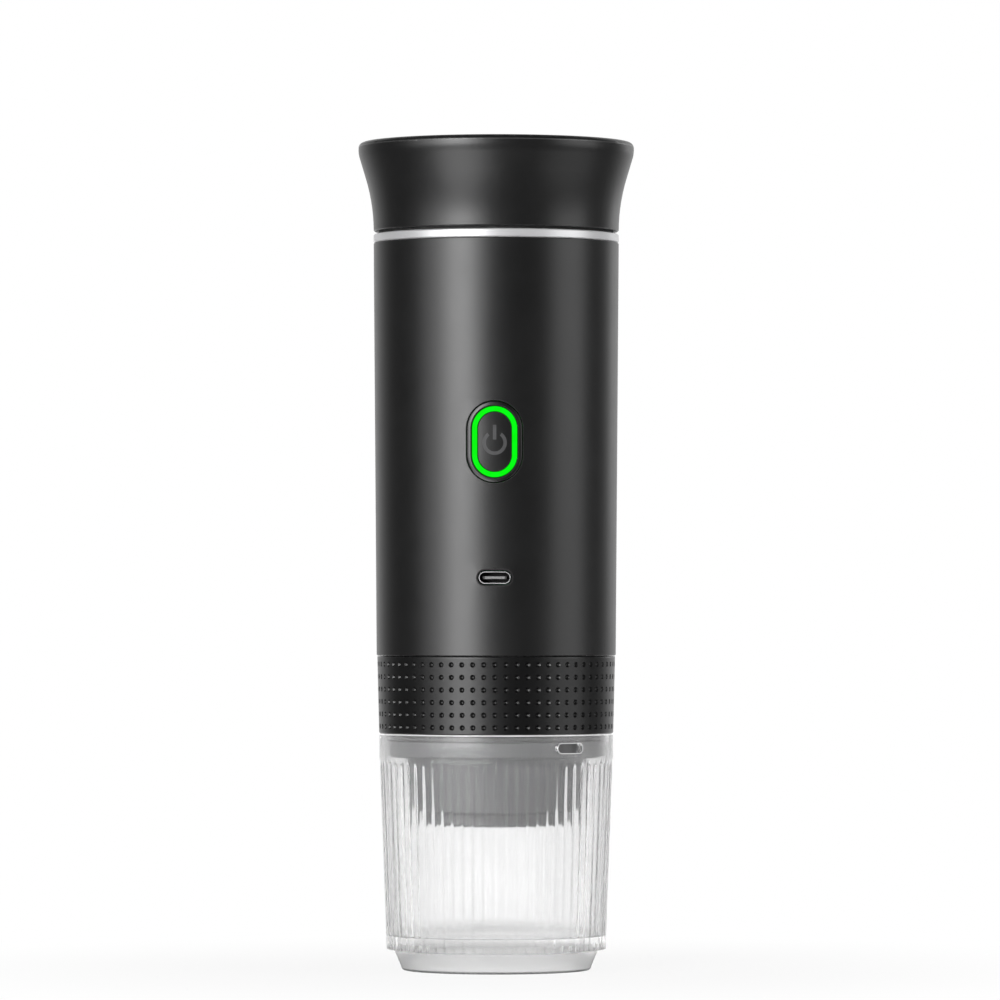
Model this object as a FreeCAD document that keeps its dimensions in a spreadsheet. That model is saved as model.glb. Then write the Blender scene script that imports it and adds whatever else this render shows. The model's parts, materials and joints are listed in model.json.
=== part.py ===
import FreeCAD, Part

import math
import os
import re

import Sketcher
from FreeCAD import Placement, Rotation, Vector

# A portable electric espresso maker that stands on its own cup. The origin is at the middle of the
# foot, +Z points up and the power button faces -Y. Lengths are in millimetres, angles in degrees.
SIZES = [
    ("cup_height", 68.6, "foot to rim of the cup"),
    ("grip_height", 22.5, "dimpled grip of the brew head"),
    ("body_height", 119.8, "straight black sleeve"),
    ("trim_height", 2.45, "metal ring round the tank mouth"),
    ("lid_gap", 0.85, "shadow line that the lid gasket fills"),
    ("lid_height", 25.8, "flared lid"),
    ("rim_radius", 40.0, "widest part of the lid"),
    ("rim_rounding", 1.6, "edge round the top of the lid"),
    ("flare_swell", 2.26, "how far the curved part of the flare leans out"),
    ("flare_height", 15.3, "curved part of the flare"),
    ("flare_curve", 53.0, "radius of the hollow flare"),
    ("shoulder_height", 4.7, "top of the lid down to its shoulder"),
    ("shoulder_inset", 0.4, "shoulder inside the rim"),
    ("shoulder_curve", 8.4, "radius over the shoulder"),
    ("lid_wall", 2.0, "wall of the lid"),
    ("plug_depth", 8.0, "skirt of the lid inside the tank"),
    ("plug_wall", 2.0, "wall of that skirt"),
    ("plug_clearance", 0.6, "skirt to tank wall"),
    ("lid_gasket_width", 3.0, "flat gasket under the lid"),
    ("body_radius_top", 35.6, "sleeve at its top"),
    ("body_radius_foot", 34.7, "sleeve at its bottom"),
    ("sleeve_wall", 2.0, "wall of the sleeve"),
    ("edge_chamfer", 0.3, "small chamfers on visible edges"),
    ("tank_radius", 31.0, "inside of the water tank"),
    ("tank_wall", 0.8, "wall of the water tank"),
    ("tank_flange", 2.4, "flange of the tank past its wall"),
    ("tank_rounding", 1.2, "inner corner round the tank floor"),
    ("lip_depth", 3.0, "ledge in the sleeve under the tank flange"),
    ("lip_slope", 1.5, "slope under that ledge"),
    ("seat_clearance", 0.3, "gap round pieces that are set in place"),
    ("frame_clearance", 0.3, "inner frame to sleeve"),
    ("frame_floor", 3.0, "lower disc of the inner frame"),
    ("frame_roof", 2.0, "upper disc of the inner frame"),
    ("heater_gap", 2.0, "cushion between frame and heater"),
    ("heater_thickness", 1.5, "heater plate under the tank"),
    ("heater_radius", 29.0, "heater plate"),
    ("cushion_radius", 20.0, "ring that carries the heater"),
    ("cushion_width", 2.5, "ring that carries the heater"),
    ("sensor_across", -12.0, "temperature sensor from the middle"),
    ("sensor_along", 4.0, "temperature sensor from the middle"),
    ("sensor_size", 3.0, "temperature sensor"),
    ("socket_height", 10.0, "socket that the brew head screws into"),
    ("socket_radius", 29.6, "bore of that socket"),
    ("neck_height", 6.2, "neck of the brew head in the socket"),
    ("neck_clearance", 0.4, "neck to socket bore"),
    ("neck_wall", 3.6, "wall of the neck"),
    ("seam_gap", 0.2, "seam between sleeve and grip"),
    ("shower_depth", 12.0, "water distributor below the frame"),
    ("shower_flange", 2.0, "its screwed flange"),
    ("screen_seat", 1.5, "edge of the screen on the distributor"),
    ("screen_gap", 0.2, "screen to basket bore"),
    ("screen_play", 0.1, "screen to gasket"),
    ("gasket_lip", 1.0, "gasket under the screen"),
    ("shower_rise", 2.4, "height of that space"),
    ("shower_clearance", 0.4, "distributor to neck"),
    ("brew_gasket_height", 2.1, "gasket that the basket is pressed on"),
    ("screen_thickness", 0.6, "perforated shower screen"),
    ("hole_radius", 0.55, "holes of the screen and the basket"),
    ("basket_radius", 22.3, "outside of the filter basket"),
    ("basket_wall", 0.6, "sheet of the basket"),
    ("basket_rounding", 1.5, "lower edge of the basket"),
    ("basket_depth", 25.0, "rim to bottom of the basket"),
    ("basket_rim", 1.0, "thickness of the basket rim"),
    ("basket_clearance", 0.4, "basket to its chamber"),
    ("collar_radius", 31.6, "wide part of the brew head"),
    ("collar_height", 7.0, "how far it reaches into the cup"),
    ("head_edge", 0.6, "chamfers of the collar and the lip"),
    ("foot_edge", 0.8, "chamfer at the foot of the head"),
    ("head_radius", 26.5, "brew head below the collar"),
    ("head_foot_radius", 24.5, "the same at its lower end"),
    ("step_drop", 7.6, "its lower end below the funnel"),
    ("lip_radius", 21.7, "skirt round the spout"),
    ("lip_drop", 3.6, "lowest point of the brew head below that"),
    ("lip_wall", 2.2, "wall of that skirt"),
    ("spout_radius", 5.0, "spout tube"),
    ("spout_bore", 3.2, "bore of the spout"),
    ("spout_inset", 2.0, "mouth of the spout above the lip"),
    ("funnel_room", 4.5, "straight wall below the basket"),
    ("funnel_depth", 5.0, "slope of the funnel floor"),
    ("funnel_thickness", 3.2, "floor of the funnel"),
    ("funnel_step", 1.0, "floor of the funnel at the skirt and the spout"),
    ("grip_radius_top", 34.5, "dimpled grip at its top"),
    ("grip_radius_foot", 33.95, "dimpled grip at its bottom"),
    ("grip_clearance", 0.1, "grip to brew head"),
    ("seal_cord", 0.85, "radius of the ring that holds the cup"),
    ("seal_drop", 1.4, "middle of that ring below the cup's rim"),
    ("seal_clearance", 0.1, "ring to cup"),
    ("seal_play", 0.1, "ring in its groove"),
    ("cup_radius", 33.9, "smooth band of the cup"),
    ("cup_clearance", 0.5, "collar to cup"),
    ("band_height", 7.0, "smooth band of the cup"),
    ("band_slope", 1.0, "slope under the smooth band"),
    ("seat_depth", 0.5, "bore for the collar below the smooth band"),
    ("seat_slope", 1.5, "slope under that bore"),
    ("rib_radius_top", 33.7, "ribbed wall at its top"),
    ("rib_radius_foot", 31.75, "ribbed wall at its bottom"),
    ("cup_wall", 2.3, "ribbed wall, ribs included"),
    ("ledge_height", 6.2, "bottom of the ribs"),
    ("foot_radius_top", 29.7, "foot under the ledge"),
    ("foot_radius", 27.6, "foot on the table"),
    ("foot_rounding", 1.2, "edge of the foot"),
    ("cup_rounding", 2.0, "inner corner round the floor of the cup"),
    ("foot_ring", 2.6, "width of the ring that the cup stands on"),
    ("cup_floor", 10.0, "inside floor of the cup"),
    ("cup_floor_thickness", 2.2, "floor of the cup"),
    ("rib_count", 68, "ribs round the cup"),
    ("rib_groove", 0.9, "width of the groove between two ribs"),
    ("rib_depth", 0.7, "depth of that groove"),
    ("groove_runout", 1.5, "slanted upper end of a groove"),
    ("vent_angle", 40.0, "vent slot to the right of the front"),
    ("vent_drop", 3.9, "middle of the vent slot below the rim"),
    ("vent_width", 9.1, "vent slot"),
    ("vent_opening", 2.7, "vent slot"),
    ("button_rise", 61.3, "middle of the button above the sleeve's foot"),
    ("bezel_width", 15.95, "frame of the button"),
    ("bezel_length", 23.35, "frame of the button"),
    ("ring_width", 13.1, "lit ring"),
    ("ring_length", 20.5, "lit ring"),
    ("ring_stroke", 1.7, "breadth of the lit ring"),
    ("button_gap", 0.1, "gap round the ring and the button"),
    ("bezel_gap", 0.15, "gap round the frame"),
    ("bezel_inset", 3.5, "back of the frame behind the sleeve's face"),
    ("cap_inset", 2.5, "back of the button cap behind the sleeve's face"),
    ("blank_depth", 6.0, "front pieces before the sleeve's curve trims them"),
    ("button_travel", 0.6, "how far the button goes in"),
    ("symbol_radius", 3.5, "power symbol"),
    ("symbol_stroke", 1.0, "power symbol"),
    ("symbol_bar", 4.2, "bar of the power symbol"),
    ("symbol_gap", 36.0, "half the gap at the top of the symbol"),
    ("symbol_drop", 0.3, "middle of the ring below the button's middle"),
    ("bar_rise", 0.9, "lower end of the bar above the middle of the ring"),
    ("symbol_inset", 0.3, "bottom of the inlaid symbol behind the sleeve's face"),
    ("port_rise", 22.5, "middle of the charging socket above the sleeve's foot"),
    ("port_width", 9.05, "shell of the charging socket"),
    ("port_opening", 3.46, "shell of the charging socket"),
    ("port_wall", 0.3, "shell of the charging socket"),
    ("port_gap", 0.4, "gap round the shell"),
    ("port_inset", 0.5, "front of the shell behind the sleeve's face"),
    ("port_back", 0.5, "rear wall of the shell"),
    ("tongue_inset", 0.6, "tongue behind the front of the shell"),
    ("tongue_width", 6.7, "contact tongue"),
    ("tongue_thickness", 0.8, "contact tongue"),
    ("board_inset", 6.1, "front of the control board behind the sleeve's face"),
    ("board_thickness", 1.2, "control board"),
    ("board_width", 25.0, "control board"),
    ("board_height", 60.0, "control board"),
    ("board_rise", 4.0, "board above the frame floor"),
    ("rail_width", 4.0, "rails that carry the board"),
    ("rail_depth", 3.4, "rails that carry the board"),
    ("screw_inset", 2.0, "board screws from the board's side"),
    ("screw_drop", 3.0, "board screws from its ends"),
    ("screw_radius", 0.9, "shank of a small screw"),
    ("screw_head", 1.6, "head of a small screw"),
    ("screw_head_height", 1.2, "head of a small screw"),
    ("screw_edge", 0.6, "screw heads to the distributor"),
    ("screw_length", 3.0, "shank of a board screw"),
    ("blind_wall", 0.4, "material past the end of a screw hole"),
    ("head_recess", 0.3, "sunk heads below the face"),
    ("switch_size", 6.0, "tact switch"),
    ("switch_height", 2.2, "tact switch"),
    ("switch_floor", 0.5, "floor under the plunger"),
    ("plunger_radius", 1.7, "stem of the button in the switch"),
    ("plunger_clearance", 0.1, "stem to switch"),
    ("led_size", 1.6, "lamp under the lit ring"),
    ("led_height", 0.8, "lamp under the lit ring"),
    ("cell_radius", 9.2, "battery cell"),
    ("cell_length", 65.0, "battery cell"),
    ("cell_edge", 0.4, "lower edge of a cell"),
    ("cell_crimp", 0.6, "rolled upper edge of a cell"),
    ("cell_tip", 0.4, "contact on top of a cell"),
    ("cell_clearance", 0.2, "cell to its pocket"),
    ("tray_base", 1.4, "floor of a battery tray"),
    ("tray_height", 4.6, "battery tray"),
    ("tray_wall", 0.6, "thinnest wall of a battery tray"),
    ("link_thickness", 0.3, "strip that joins the cells"),
    ("link_width", 6.0, "strip that joins the cells"),
    ("post_width", 3.2, "side posts of the frame"),
    ("post_depth", 13.0, "side posts of the frame"),
    ("pump_gap", 0.5, "pump to battery trays"),
    ("pump_radius", 13.5, "pump and gearbox"),
    ("pump_head_height", 8.0, "inlet and outlet chambers"),
    ("valve_plate_height", 2.0, "plate of the check valves"),
    ("diaphragm_flange", 1.0, "edge of the diaphragm"),
    ("pump_housing_height", 16.0, "housing of the wobble drive"),
    ("housing_bore", 9.9, "room for the wobble plate"),
    ("housing_roof", 1.2, "bearing wall of that housing"),
    ("gearbox_height", 9.0, "ring gear"),
    ("motor_radius", 13.0, "motor can"),
    ("motor_wall", 1.0, "motor can"),
    ("bearing_radius", 3.0, "front bearing"),
    ("bearing_height", 3.0, "front bearing"),
    ("motor_length", 27.0, "motor can"),
    ("end_cap_height", 2.5, "rear cap of the motor"),
    ("cap_insert", 2.0, "end cap inside the can"),
    ("cap_boss", 1.0, "rear bearing on the cap"),
    ("cap_boss_radius", 4.0, "rear bearing on the cap"),
    ("magnet_thickness", 1.7, "motor magnets"),
    ("magnet_height", 18.0, "motor magnets"),
    ("magnet_rise", 4.0, "magnets above the can's face"),
    ("magnet_reach", 60.0, "half the arc of a magnet"),
    ("air_gap", 0.4, "magnets to armature"),
    ("armature_height", 16.0, "armature of the motor"),
    ("armature_rise", 5.0, "armature above the can's face"),
    ("slot_width", 1.4, "slots of the armature"),
    ("slot_depth", 5.0, "slots of the armature"),
    ("cut_margin", 1.0, "how far cuts run past an edge"),
    ("shaft_radius", 1.0, "motor shaft"),
    ("shaft_clearance", 0.05, "running fit of the shafts"),
    ("shaft_gap", 0.1, "shaft below the pinion"),
    ("shaft_inset", 0.2, "shaft inside the rear bearing"),
    ("bolt_clearance", 0.1, "screws in their holes"),
    ("tooth_module", 0.5, "size of the gear teeth"),
    ("sun_teeth", 12, "pinion on the motor shaft"),
    ("planet_teeth", 12, "planet gears"),
    ("ring_teeth", 36, "ring gear"),
    ("gear_play", 0.12, "play between two teeth"),
    ("gear_width", 5.0, "planet gears"),
    ("gear_gap", 0.2, "planet gears to carrier"),
    ("pin_overrun", 0.6, "carrier pins past the carrier and gears"),
    ("planet_pin", 0.8, "pins of the planet carrier"),
    ("carrier_radius", 8.0, "planet carrier"),
    ("carrier_thickness", 1.4, "planet carrier"),
    ("carrier_gap", 0.4, "carrier to pump housing"),
    ("output_radius", 2.0, "output shaft of the carrier"),
    ("cam_radius", 5.0, "drive cam"),
    ("cam_drop", 4.6, "drive cam above the wobble centre"),
    ("cam_socket", 2.0, "output shaft inside the cam"),
    ("cam_gap", 0.3, "cam to pump housing"),
    ("pin_room", 0.4, "slanted hole past the pin"),
    ("wobble_tilt", 7.0, "lean of the wobble plate"),
    ("wobble_rise", 4.4, "wobble centre above the diaphragm edge"),
    ("wobble_thickness", 2.0, "wobble plate"),
    ("wobble_pin", 1.0, "pin of the wobble plate"),
    ("wobble_pin_length", 7.4, "pin above the wobble centre"),
    ("wobble_hub", 3.0, "middle of the wobble plate"),
    ("chamber_circle", 6.4, "pump chambers from the pump axis"),
    ("chamber_radius", 3.2, "pump chambers"),
    ("pad_radius", 2.2, "ends of the wobble plate"),
    ("stud_radius", 1.1, "rubber studs of the diaphragm"),
    ("stud_clearance", 0.5, "studs in the wobble plate"),
    ("stud_play", 0.35, "studs past the wobble plate"),
    ("stud_head", 0.7, "heads of the studs"),
    ("stud_grip", 0.3, "heads past their holes"),
    ("rubber_wall", 0.8, "wall of the rubber cones"),
    ("valve_circle", 7.0, "inlet valves from the pump axis"),
    ("valve_cap", 1.7, "inlet valves"),
    ("valve_stem", 0.6, "stem of a valve"),
    ("valve_thickness", 0.45, "cap of a valve"),
    ("inlet_port", 0.35, "water holes under an inlet valve"),
    ("inlet_port_angle", 9.0, "those holes to either side of the valve"),
    ("outlet_port", 0.4, "water holes over the outlet valve"),
    ("outlet_port_inset", 0.9, "those holes inside the outlet chamber"),
    ("outlet_valve_cap", 4.3, "outlet valve"),
    ("outlet_chamber", 4.6, "outlet chamber"),
    ("inlet_chamber_inner", 5.3, "inlet chamber"),
    ("inlet_chamber_outer", 8.9, "inlet chamber"),
    ("chamber_depth", 4.6, "inlet and outlet chambers"),
    ("spigot_radius", 2.5, "outlet of the pump"),
    ("spigot_length", 6.0, "outlet below the frame floor"),
    ("spigot_gap", 0.3, "end of the outlet to its socket"),
    ("spigot_clearance", 0.1, "outlet in the distributor"),
    ("water_bore", 0.9, "water passages"),
    ("barb_radius", 1.6, "hose barbs"),
    ("barb_length", 3.4, "hose barbs"),
    ("barb_height", 5.6, "inlet barb above the frame floor"),
    ("barb_root", 1.0, "root of the barb in the pump head"),
    ("hose_wall", 1.0, "water hose"),
    ("hose_gap", 0.6, "hose to pump head"),
    ("hose_end", 2.0, "hose below the roof"),
    ("hose_bend", 5.0, "bend of the hose"),
    ("outlet_flange", 4.0, "flange of the tank outlet"),
    ("outlet_flange_height", 1.0, "flange of the tank outlet"),
    ("outlet_stem", 13.0, "tank outlet below the tank floor"),
    ("strainer_height", 1.8, "strainer over the tank outlet"),
    ("strainer_sheet", 0.5, "sheet of the strainer"),
    ("lead_radius", 0.6, "wires inside the casing"),
    ("lead_bend", 1.5, "bend of the motor wires"),
    ("lead_spread", 4.0, "motor wires from the middle"),
    ("lead_drop", 8.0, "heater wires below the frame's roof"),
    ("lead_reach", 8.0, "motor wires behind the pump axis"),
    ("lead_end", 6.0, "motor wires down behind the board"),
]

doc = FreeCAD.newDocument("EspressoMaker")
sheet = doc.addObject("Spreadsheet::Sheet", "Sizes")
for row, (name, value, note) in enumerate(SIZES, start=1):
    sheet.set(f"A{row}", note)
    sheet.set(f"B{row}", str(value))
    sheet.setAlias(f"B{row}", name)
doc.recompute()

# Heights that several pieces share, from the foot upwards.
BODY_BASE = "(cup_height + grip_height)"
BODY_TOP = f"({BODY_BASE} + body_height)"
TRIM_TOP = f"({BODY_TOP} + trim_height)"
LID_BASE = f"({TRIM_TOP} + lid_gap)"
LID_TOP = f"({LID_BASE} + lid_height)"
SOCKET_TOP = f"({BODY_BASE} + socket_height)"
FLOOR_TOP = f"({SOCKET_TOP} + frame_floor)"
CELL_BASE = f"({FLOOR_TOP} + tray_base + link_thickness)"
CELL_TOP = f"({CELL_BASE} + cell_length)"
ROOF_BASE = f"({CELL_TOP} + link_thickness + tray_base)"
ROOF_TOP = f"({ROOF_BASE} + frame_roof)"
HEATER_BASE = f"({ROOF_TOP} + heater_gap)"
TANK_BASE = f"({HEATER_BASE} + heater_thickness)"
TANK_FLOOR = f"({TANK_BASE} + tank_wall)"
GRIP_TOP = f"({BODY_BASE} - seam_gap)"
SHOWER_FACE = f"({SOCKET_TOP} - shower_depth)"
BASKET_TOP = f"({SHOWER_FACE} - brew_gasket_height)"
VALVE_BASE = f"({FLOOR_TOP} + pump_head_height)"
FLANGE_BASE = f"({VALVE_BASE} + valve_plate_height)"
HOUSING_BASE = f"({FLANGE_BASE} + diaphragm_flange)"
GEAR_BASE = f"({HOUSING_BASE} + pump_housing_height)"
MOTOR_BASE = f"({GEAR_BASE} + gearbox_height)"
MOTOR_TOP = f"({MOTOR_BASE} + motor_length)"
WOBBLE_HEIGHT = f"({HOUSING_BASE} + wobble_rise)"
CARRIER_BASE = f"({GEAR_BASE} + carrier_gap)"
PLANET_BASE = f"({CARRIER_BASE} + carrier_thickness + gear_gap)"
SPREAD_RADIUS = "(body_radius_foot - sleeve_wall - frame_clearance)"
POST_OUTER = f"sqrt({SPREAD_RADIUS}^2 - post_depth^2)"
ROOF_RADIUS = "((body_radius_foot + body_radius_top) / 2 - sleeve_wall - frame_clearance)"
CUP_BORE = "(collar_radius + cup_clearance)"
LIP_BORE = "(tank_radius + tank_wall + seat_clearance)"
NECK_RADIUS = "(socket_radius - neck_clearance)"
SHOWER_RADIUS = "(socket_radius - neck_clearance - neck_wall - shower_clearance)"
PLUG_RADIUS = "(tank_radius - plug_clearance)"
PANEL_SLOPE = "((body_radius_top - body_radius_foot) / body_height)"
PANEL_RADIUS = f"(body_radius_foot + {PANEL_SLOPE} * button_rise)"
BUTTON_HEIGHT = f"({BODY_BASE} + button_rise)"
PORT_HEIGHT = f"({BODY_BASE} + port_rise)"
BOARD_FRONT = "(body_radius_foot - board_inset)"
BEZEL_BACK = "(body_radius_foot - bezel_inset)"
CAP_BACK = "(body_radius_foot - cap_inset)"
SYMBOL_FLOOR = "(body_radius_foot - symbol_inset)"
PORT_FRONT = "(body_radius_foot - port_inset)"
CHAMBER_FOOT = f"({BASKET_TOP} - basket_depth - funnel_room)"
FUNNEL_FOOT = f"({CHAMBER_FOOT} - funnel_depth)"
STEP_HEIGHT = f"({FUNNEL_FOOT} - step_drop)"
LIP_HEIGHT = f"({STEP_HEIGHT} - lip_drop)"
SCREEN_RADIUS = "(basket_radius - basket_wall - screen_gap)"
CAVITY_RADIUS = f"({SCREEN_RADIUS} - screen_seat)"
HOLE_STEP = "((basket_radius - basket_wall - 2.5) / 4.5)"
POCKET_WALL = "(cell_radius + cell_clearance + tray_wall)"
TRAY_RADIUS = f"({SPREAD_RADIUS} - seat_clearance)"
CELL_CIRCLE = f"({TRAY_RADIUS} - {POCKET_WALL})"
CELL_SPREAD = f"(2 * asin({POCKET_WALL} / {CELL_CIRCLE}) / 1deg)"
TRAY_FRONT = f"({CELL_CIRCLE} * cos({CELL_SPREAD}) - {POCKET_WALL})"
PUMP_Y = f"({TRAY_FRONT} - pump_gap - pump_radius)"
BOLT_CIRCLE = "((housing_bore + pump_radius) / 2)"
HOSE_COLUMN = "(pump_radius + barb_length + hose_bend + bolt_clearance)"
BEYOND = "(rim_radius + 20)"

sub_parts = []


def bound(formula):
    """The formula with each size name pointing at its cell."""
    return re.sub(r"\b([a-z]+_[a-z_]+)\b", r"Sizes.\1", str(formula))


def measure(formula):
    """What a formula comes to with the sizes as they are."""
    return float(sheet.evalExpression(bound(formula)))


def place(thing, x="0", y="0", z="0"):
    thing.setExpression("Placement.Base.x", bound(x))
    thing.setExpression("Placement.Base.y", bound(y))
    thing.setExpression("Placement.Base.z", bound(z))


def new_body(label, x="0", y="0"):
    body = doc.addObject("PartDesign::Body", label)
    body.Label = label
    place(body, x, y)
    sub_parts.append(body)
    return body


def new_sketch(body, role="XY_Plane", lift="0", turn=None):
    """A sketch on one of the body's planes, lifted off it, and turned by an angle about an axis."""
    plane = next(face for face in body.Origin.OriginFeatures if face.Role == role)
    sketch = body.newObject("Sketcher::SketchObject", body.Label + "_sketch")
    sketch.AttachmentSupport = [(plane, "")]
    sketch.MapMode = "FlatFace"
    if turn:
        axis, angle = turn
        sketch.AttachmentOffset = Placement(Vector(), Rotation(axis, measure(angle)))
        sketch.setExpression("AttachmentOffset.Rotation.Angle", bound(angle))
    if lift != "0":
        sketch.setExpression("AttachmentOffset.Base.z", bound(lift))
    return sketch


def fix(sketch, kind, *place_and_value):
    """Adds one constraint, its last value bound to a formula."""
    *where, formula = place_and_value
    number = sketch.addConstraint(Sketcher.Constraint(kind, *where, measure(formula)))
    sketch.setExpression(f"Constraints[{number}]", bound(formula))


def fix_point(sketch, edge, end, across, up):
    fix(sketch, "DistanceX", -1, 1, edge, end, across)
    fix(sketch, "DistanceY", -1, 1, edge, end, up)


def draw_arc(sketch, start, middle, end):
    """An arc through three points. Returns the numbers of its first and last end, since a sketch
    keeps each arc counter-clockwise."""
    turn_left = (middle - start).cross(end - middle).z > 0
    arc = Part.Arc(start, middle, end) if turn_left else Part.Arc(end, middle, start)
    sketch.addGeometry(arc, False)
    return (1, 2) if turn_left else (2, 1)


def draw(sketch, corners):
    """Closes an outline. A corner is (across, up), reached by a straight line, or
    (across, up, radius, side), reached by an arc that swells to its left (1) or right (-1)."""
    spots = [Vector(measure(corner[0]), measure(corner[1]), 0) for corner in corners]
    first = sketch.GeometryCount
    ends = []
    for number, corner in enumerate(corners):
        start, end = spots[number - 1], spots[number]
        if len(corner) == 2:
            sketch.addGeometry(Part.LineSegment(start, end), False)
            ends.append((1, 2))
        else:
            radius = measure(corner[2])
            chord = end - start
            rise = radius - math.sqrt(radius**2 - (chord.Length / 2) ** 2)
            aside = Vector(-chord.y, chord.x, 0).normalize() * (rise * corner[3])
            ends.append(draw_arc(sketch, start, (start + end) * 0.5 + aside, end))
    for number, corner in enumerate(corners):
        edge = first + number
        following = (number + 1) % len(corners)
        joined = (edge, ends[number][1], first + following, ends[following][0])
        sketch.addConstraint(Sketcher.Constraint("Coincident", *joined))
        fix_point(sketch, edge, ends[number][1], corner[0], corner[1])
        if len(corner) == 4:
            fix(sketch, "Radius", edge, corner[2])


def draw_circle(sketch, across, up, radius):
    centre = Vector(measure(across), measure(up), 0)
    edge = sketch.addGeometry(Part.Circle(centre, Vector(0, 0, 1), measure(radius)), False)
    fix_point(sketch, edge, 3, across, up)
    fix(sketch, "Radius", edge, radius)


def draw_box(sketch, across, up, width, height):
    """A rectangle about a middle point."""
    left, right = f"{across} - ({width}) / 2", f"{across} + ({width}) / 2"
    low, high = f"{up} - ({height}) / 2", f"{up} + ({height}) / 2"
    draw(sketch, [(left, low), (right, low), (right, high), (left, high)])


def draw_stadium(sketch, across, up, width, height):
    """A rectangle with two round ends about a middle point."""
    upright = measure(height) > measure(width)
    breadth, length = (width, height) if upright else (height, width)
    radius = f"({breadth}) / 2"
    reach = f"(({length}) - ({breadth})) / 2"
    middle = Vector(measure(across), measure(up), 0)
    along = Vector(0, 1, 0) if upright else Vector(-1, 0, 0)
    side = Vector(1, 0, 0) if upright else Vector(0, 1, 0)
    first = sketch.GeometryCount
    for way in (1, -1):
        centre = middle + along * (measure(reach) * way)
        start = centre + side * (measure(radius) * way)
        end = centre - side * (measure(radius) * way)
        sketch.addGeometry(Part.Arc(start, centre + along * (measure(radius) * way), end), False)
        sketch.addGeometry(Part.LineSegment(end, end - along * (2 * measure(reach) * way)), False)
    for number in range(4):
        following = first + (number + 1) % 4
        sketch.addConstraint(Sketcher.Constraint("Tangent", first + number, 2, following, 1))
    for edge, sign in ((first, "+"), (first + 2, "-")):
        if upright:
            fix_point(sketch, edge, 3, across, f"{up} {sign} {reach}")
        else:
            fix_point(sketch, edge, 3, f"{across} - (0 {sign} {reach})", up)
        fix(sketch, "Radius", edge, radius)


def turned_body(label, corners, x="0", y="0"):
    """A piece turned about its own upright axis, from an outline of (radius, height) corners."""
    body = new_body(label, x, y)
    sketch = new_sketch(body, "XZ_Plane")
    draw(sketch, corners)
    turned = body.newObject("PartDesign::Revolution", label + "_turned")
    turned.Profile = sketch
    turned.ReferenceAxis = (sketch, ["V_Axis"])
    turned.Angle = 360
    return body


def pad(body, sketch, length, back=False):
    grown = body.newObject("PartDesign::Pad", body.Label + "_pad")
    grown.Profile = sketch
    grown.Reversed = back
    grown.setExpression("Length", bound(length))
    return grown


def cut(body, sketch, length=None, back=False):
    """Cuts the sketch away, all through both ways if it has no length, and checks that it did."""
    doc.recompute()
    before = body.Shape.Volume
    pocket = body.newObject("PartDesign::Pocket", body.Label + "_cut")
    pocket.Profile = sketch
    if length is None:
        pocket.SideType = "Symmetric"
        pocket.Type = "ThroughAll"
    else:
        pocket.Reversed = back
        pocket.setExpression("Length", bound(length))
    doc.recompute()
    if not body.Shape.Volume < before - 1e-4:
        raise RuntimeError(f"{body.Label} has a cut that removes nothing")
    return pocket


def repeat(body, feature, count):
    """Repeats a feature round the body's upright axis."""
    pattern = body.newObject("PartDesign::PolarPattern", body.Label + "_repeat")
    pattern.Originals = [feature]
    upright = next(axis for axis in body.Origin.OriginFeatures if axis.Role == "Z_Axis")
    pattern.Axis = (upright, [""])
    pattern.Angle = 360
    pattern.setExpression("Occurrences", bound(count))
    body.Tip = pattern
    return pattern


def trim_front(body, radius):
    """Cuts the piece's front to the round of the casing."""
    sketch = new_sketch(body)
    draw_box(sketch, "0", "0", f"2 * {BEYOND}", f"2 * {BEYOND}")
    draw_circle(sketch, "0", "0", radius)
    cut(body, sketch)


def block(label, width, depth, height, x, y, z):
    """A box with its lowest corner at x, y, z."""
    box = doc.addObject("Part::Box", label)
    box.setExpression("Length", bound(width))
    box.setExpression("Width", bound(depth))
    box.setExpression("Height", bound(height))
    place(box, x, y, z)
    return box


def rod(label, radius, height, x, y, z, top_radius=None):
    """An upright cylinder, or a cone where it has a top radius."""
    kind = "Part::Cone" if top_radius else "Part::Cylinder"
    piece = doc.addObject(kind, label)
    piece.setExpression("Radius1" if top_radius else "Radius", bound(radius))
    if top_radius:
        piece.setExpression("Radius2", bound(top_radius))
    piece.setExpression("Height", bound(height))
    place(piece, x, y, z)
    return piece


def joined(label, pieces):
    whole = doc.addObject("Part::MultiFuse", label)
    whole.Shapes = pieces
    return whole


def without(label, base, tools):
    tool = tools[0] if len(tools) == 1 else joined(label + "_tools", tools)
    rest = doc.addObject("Part::Cut", label)
    rest.Base = base
    rest.Tool = tool
    return rest


def group(label, pieces):
    """Separate solids under one name."""
    bundle = doc.addObject("Part::Compound", label)
    bundle.Links = pieces
    return bundle


def kept(piece, label):
    piece.Label = label
    sub_parts.append(piece)
    return piece


def on_circle(radius, angle, x="0", y="0"):
    """The two formulas of a point at a radius and angle round x, y."""
    return f"({x} + {radius} * cos({angle}))", f"({y} + {radius} * sin({angle}))"


# The lid


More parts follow.
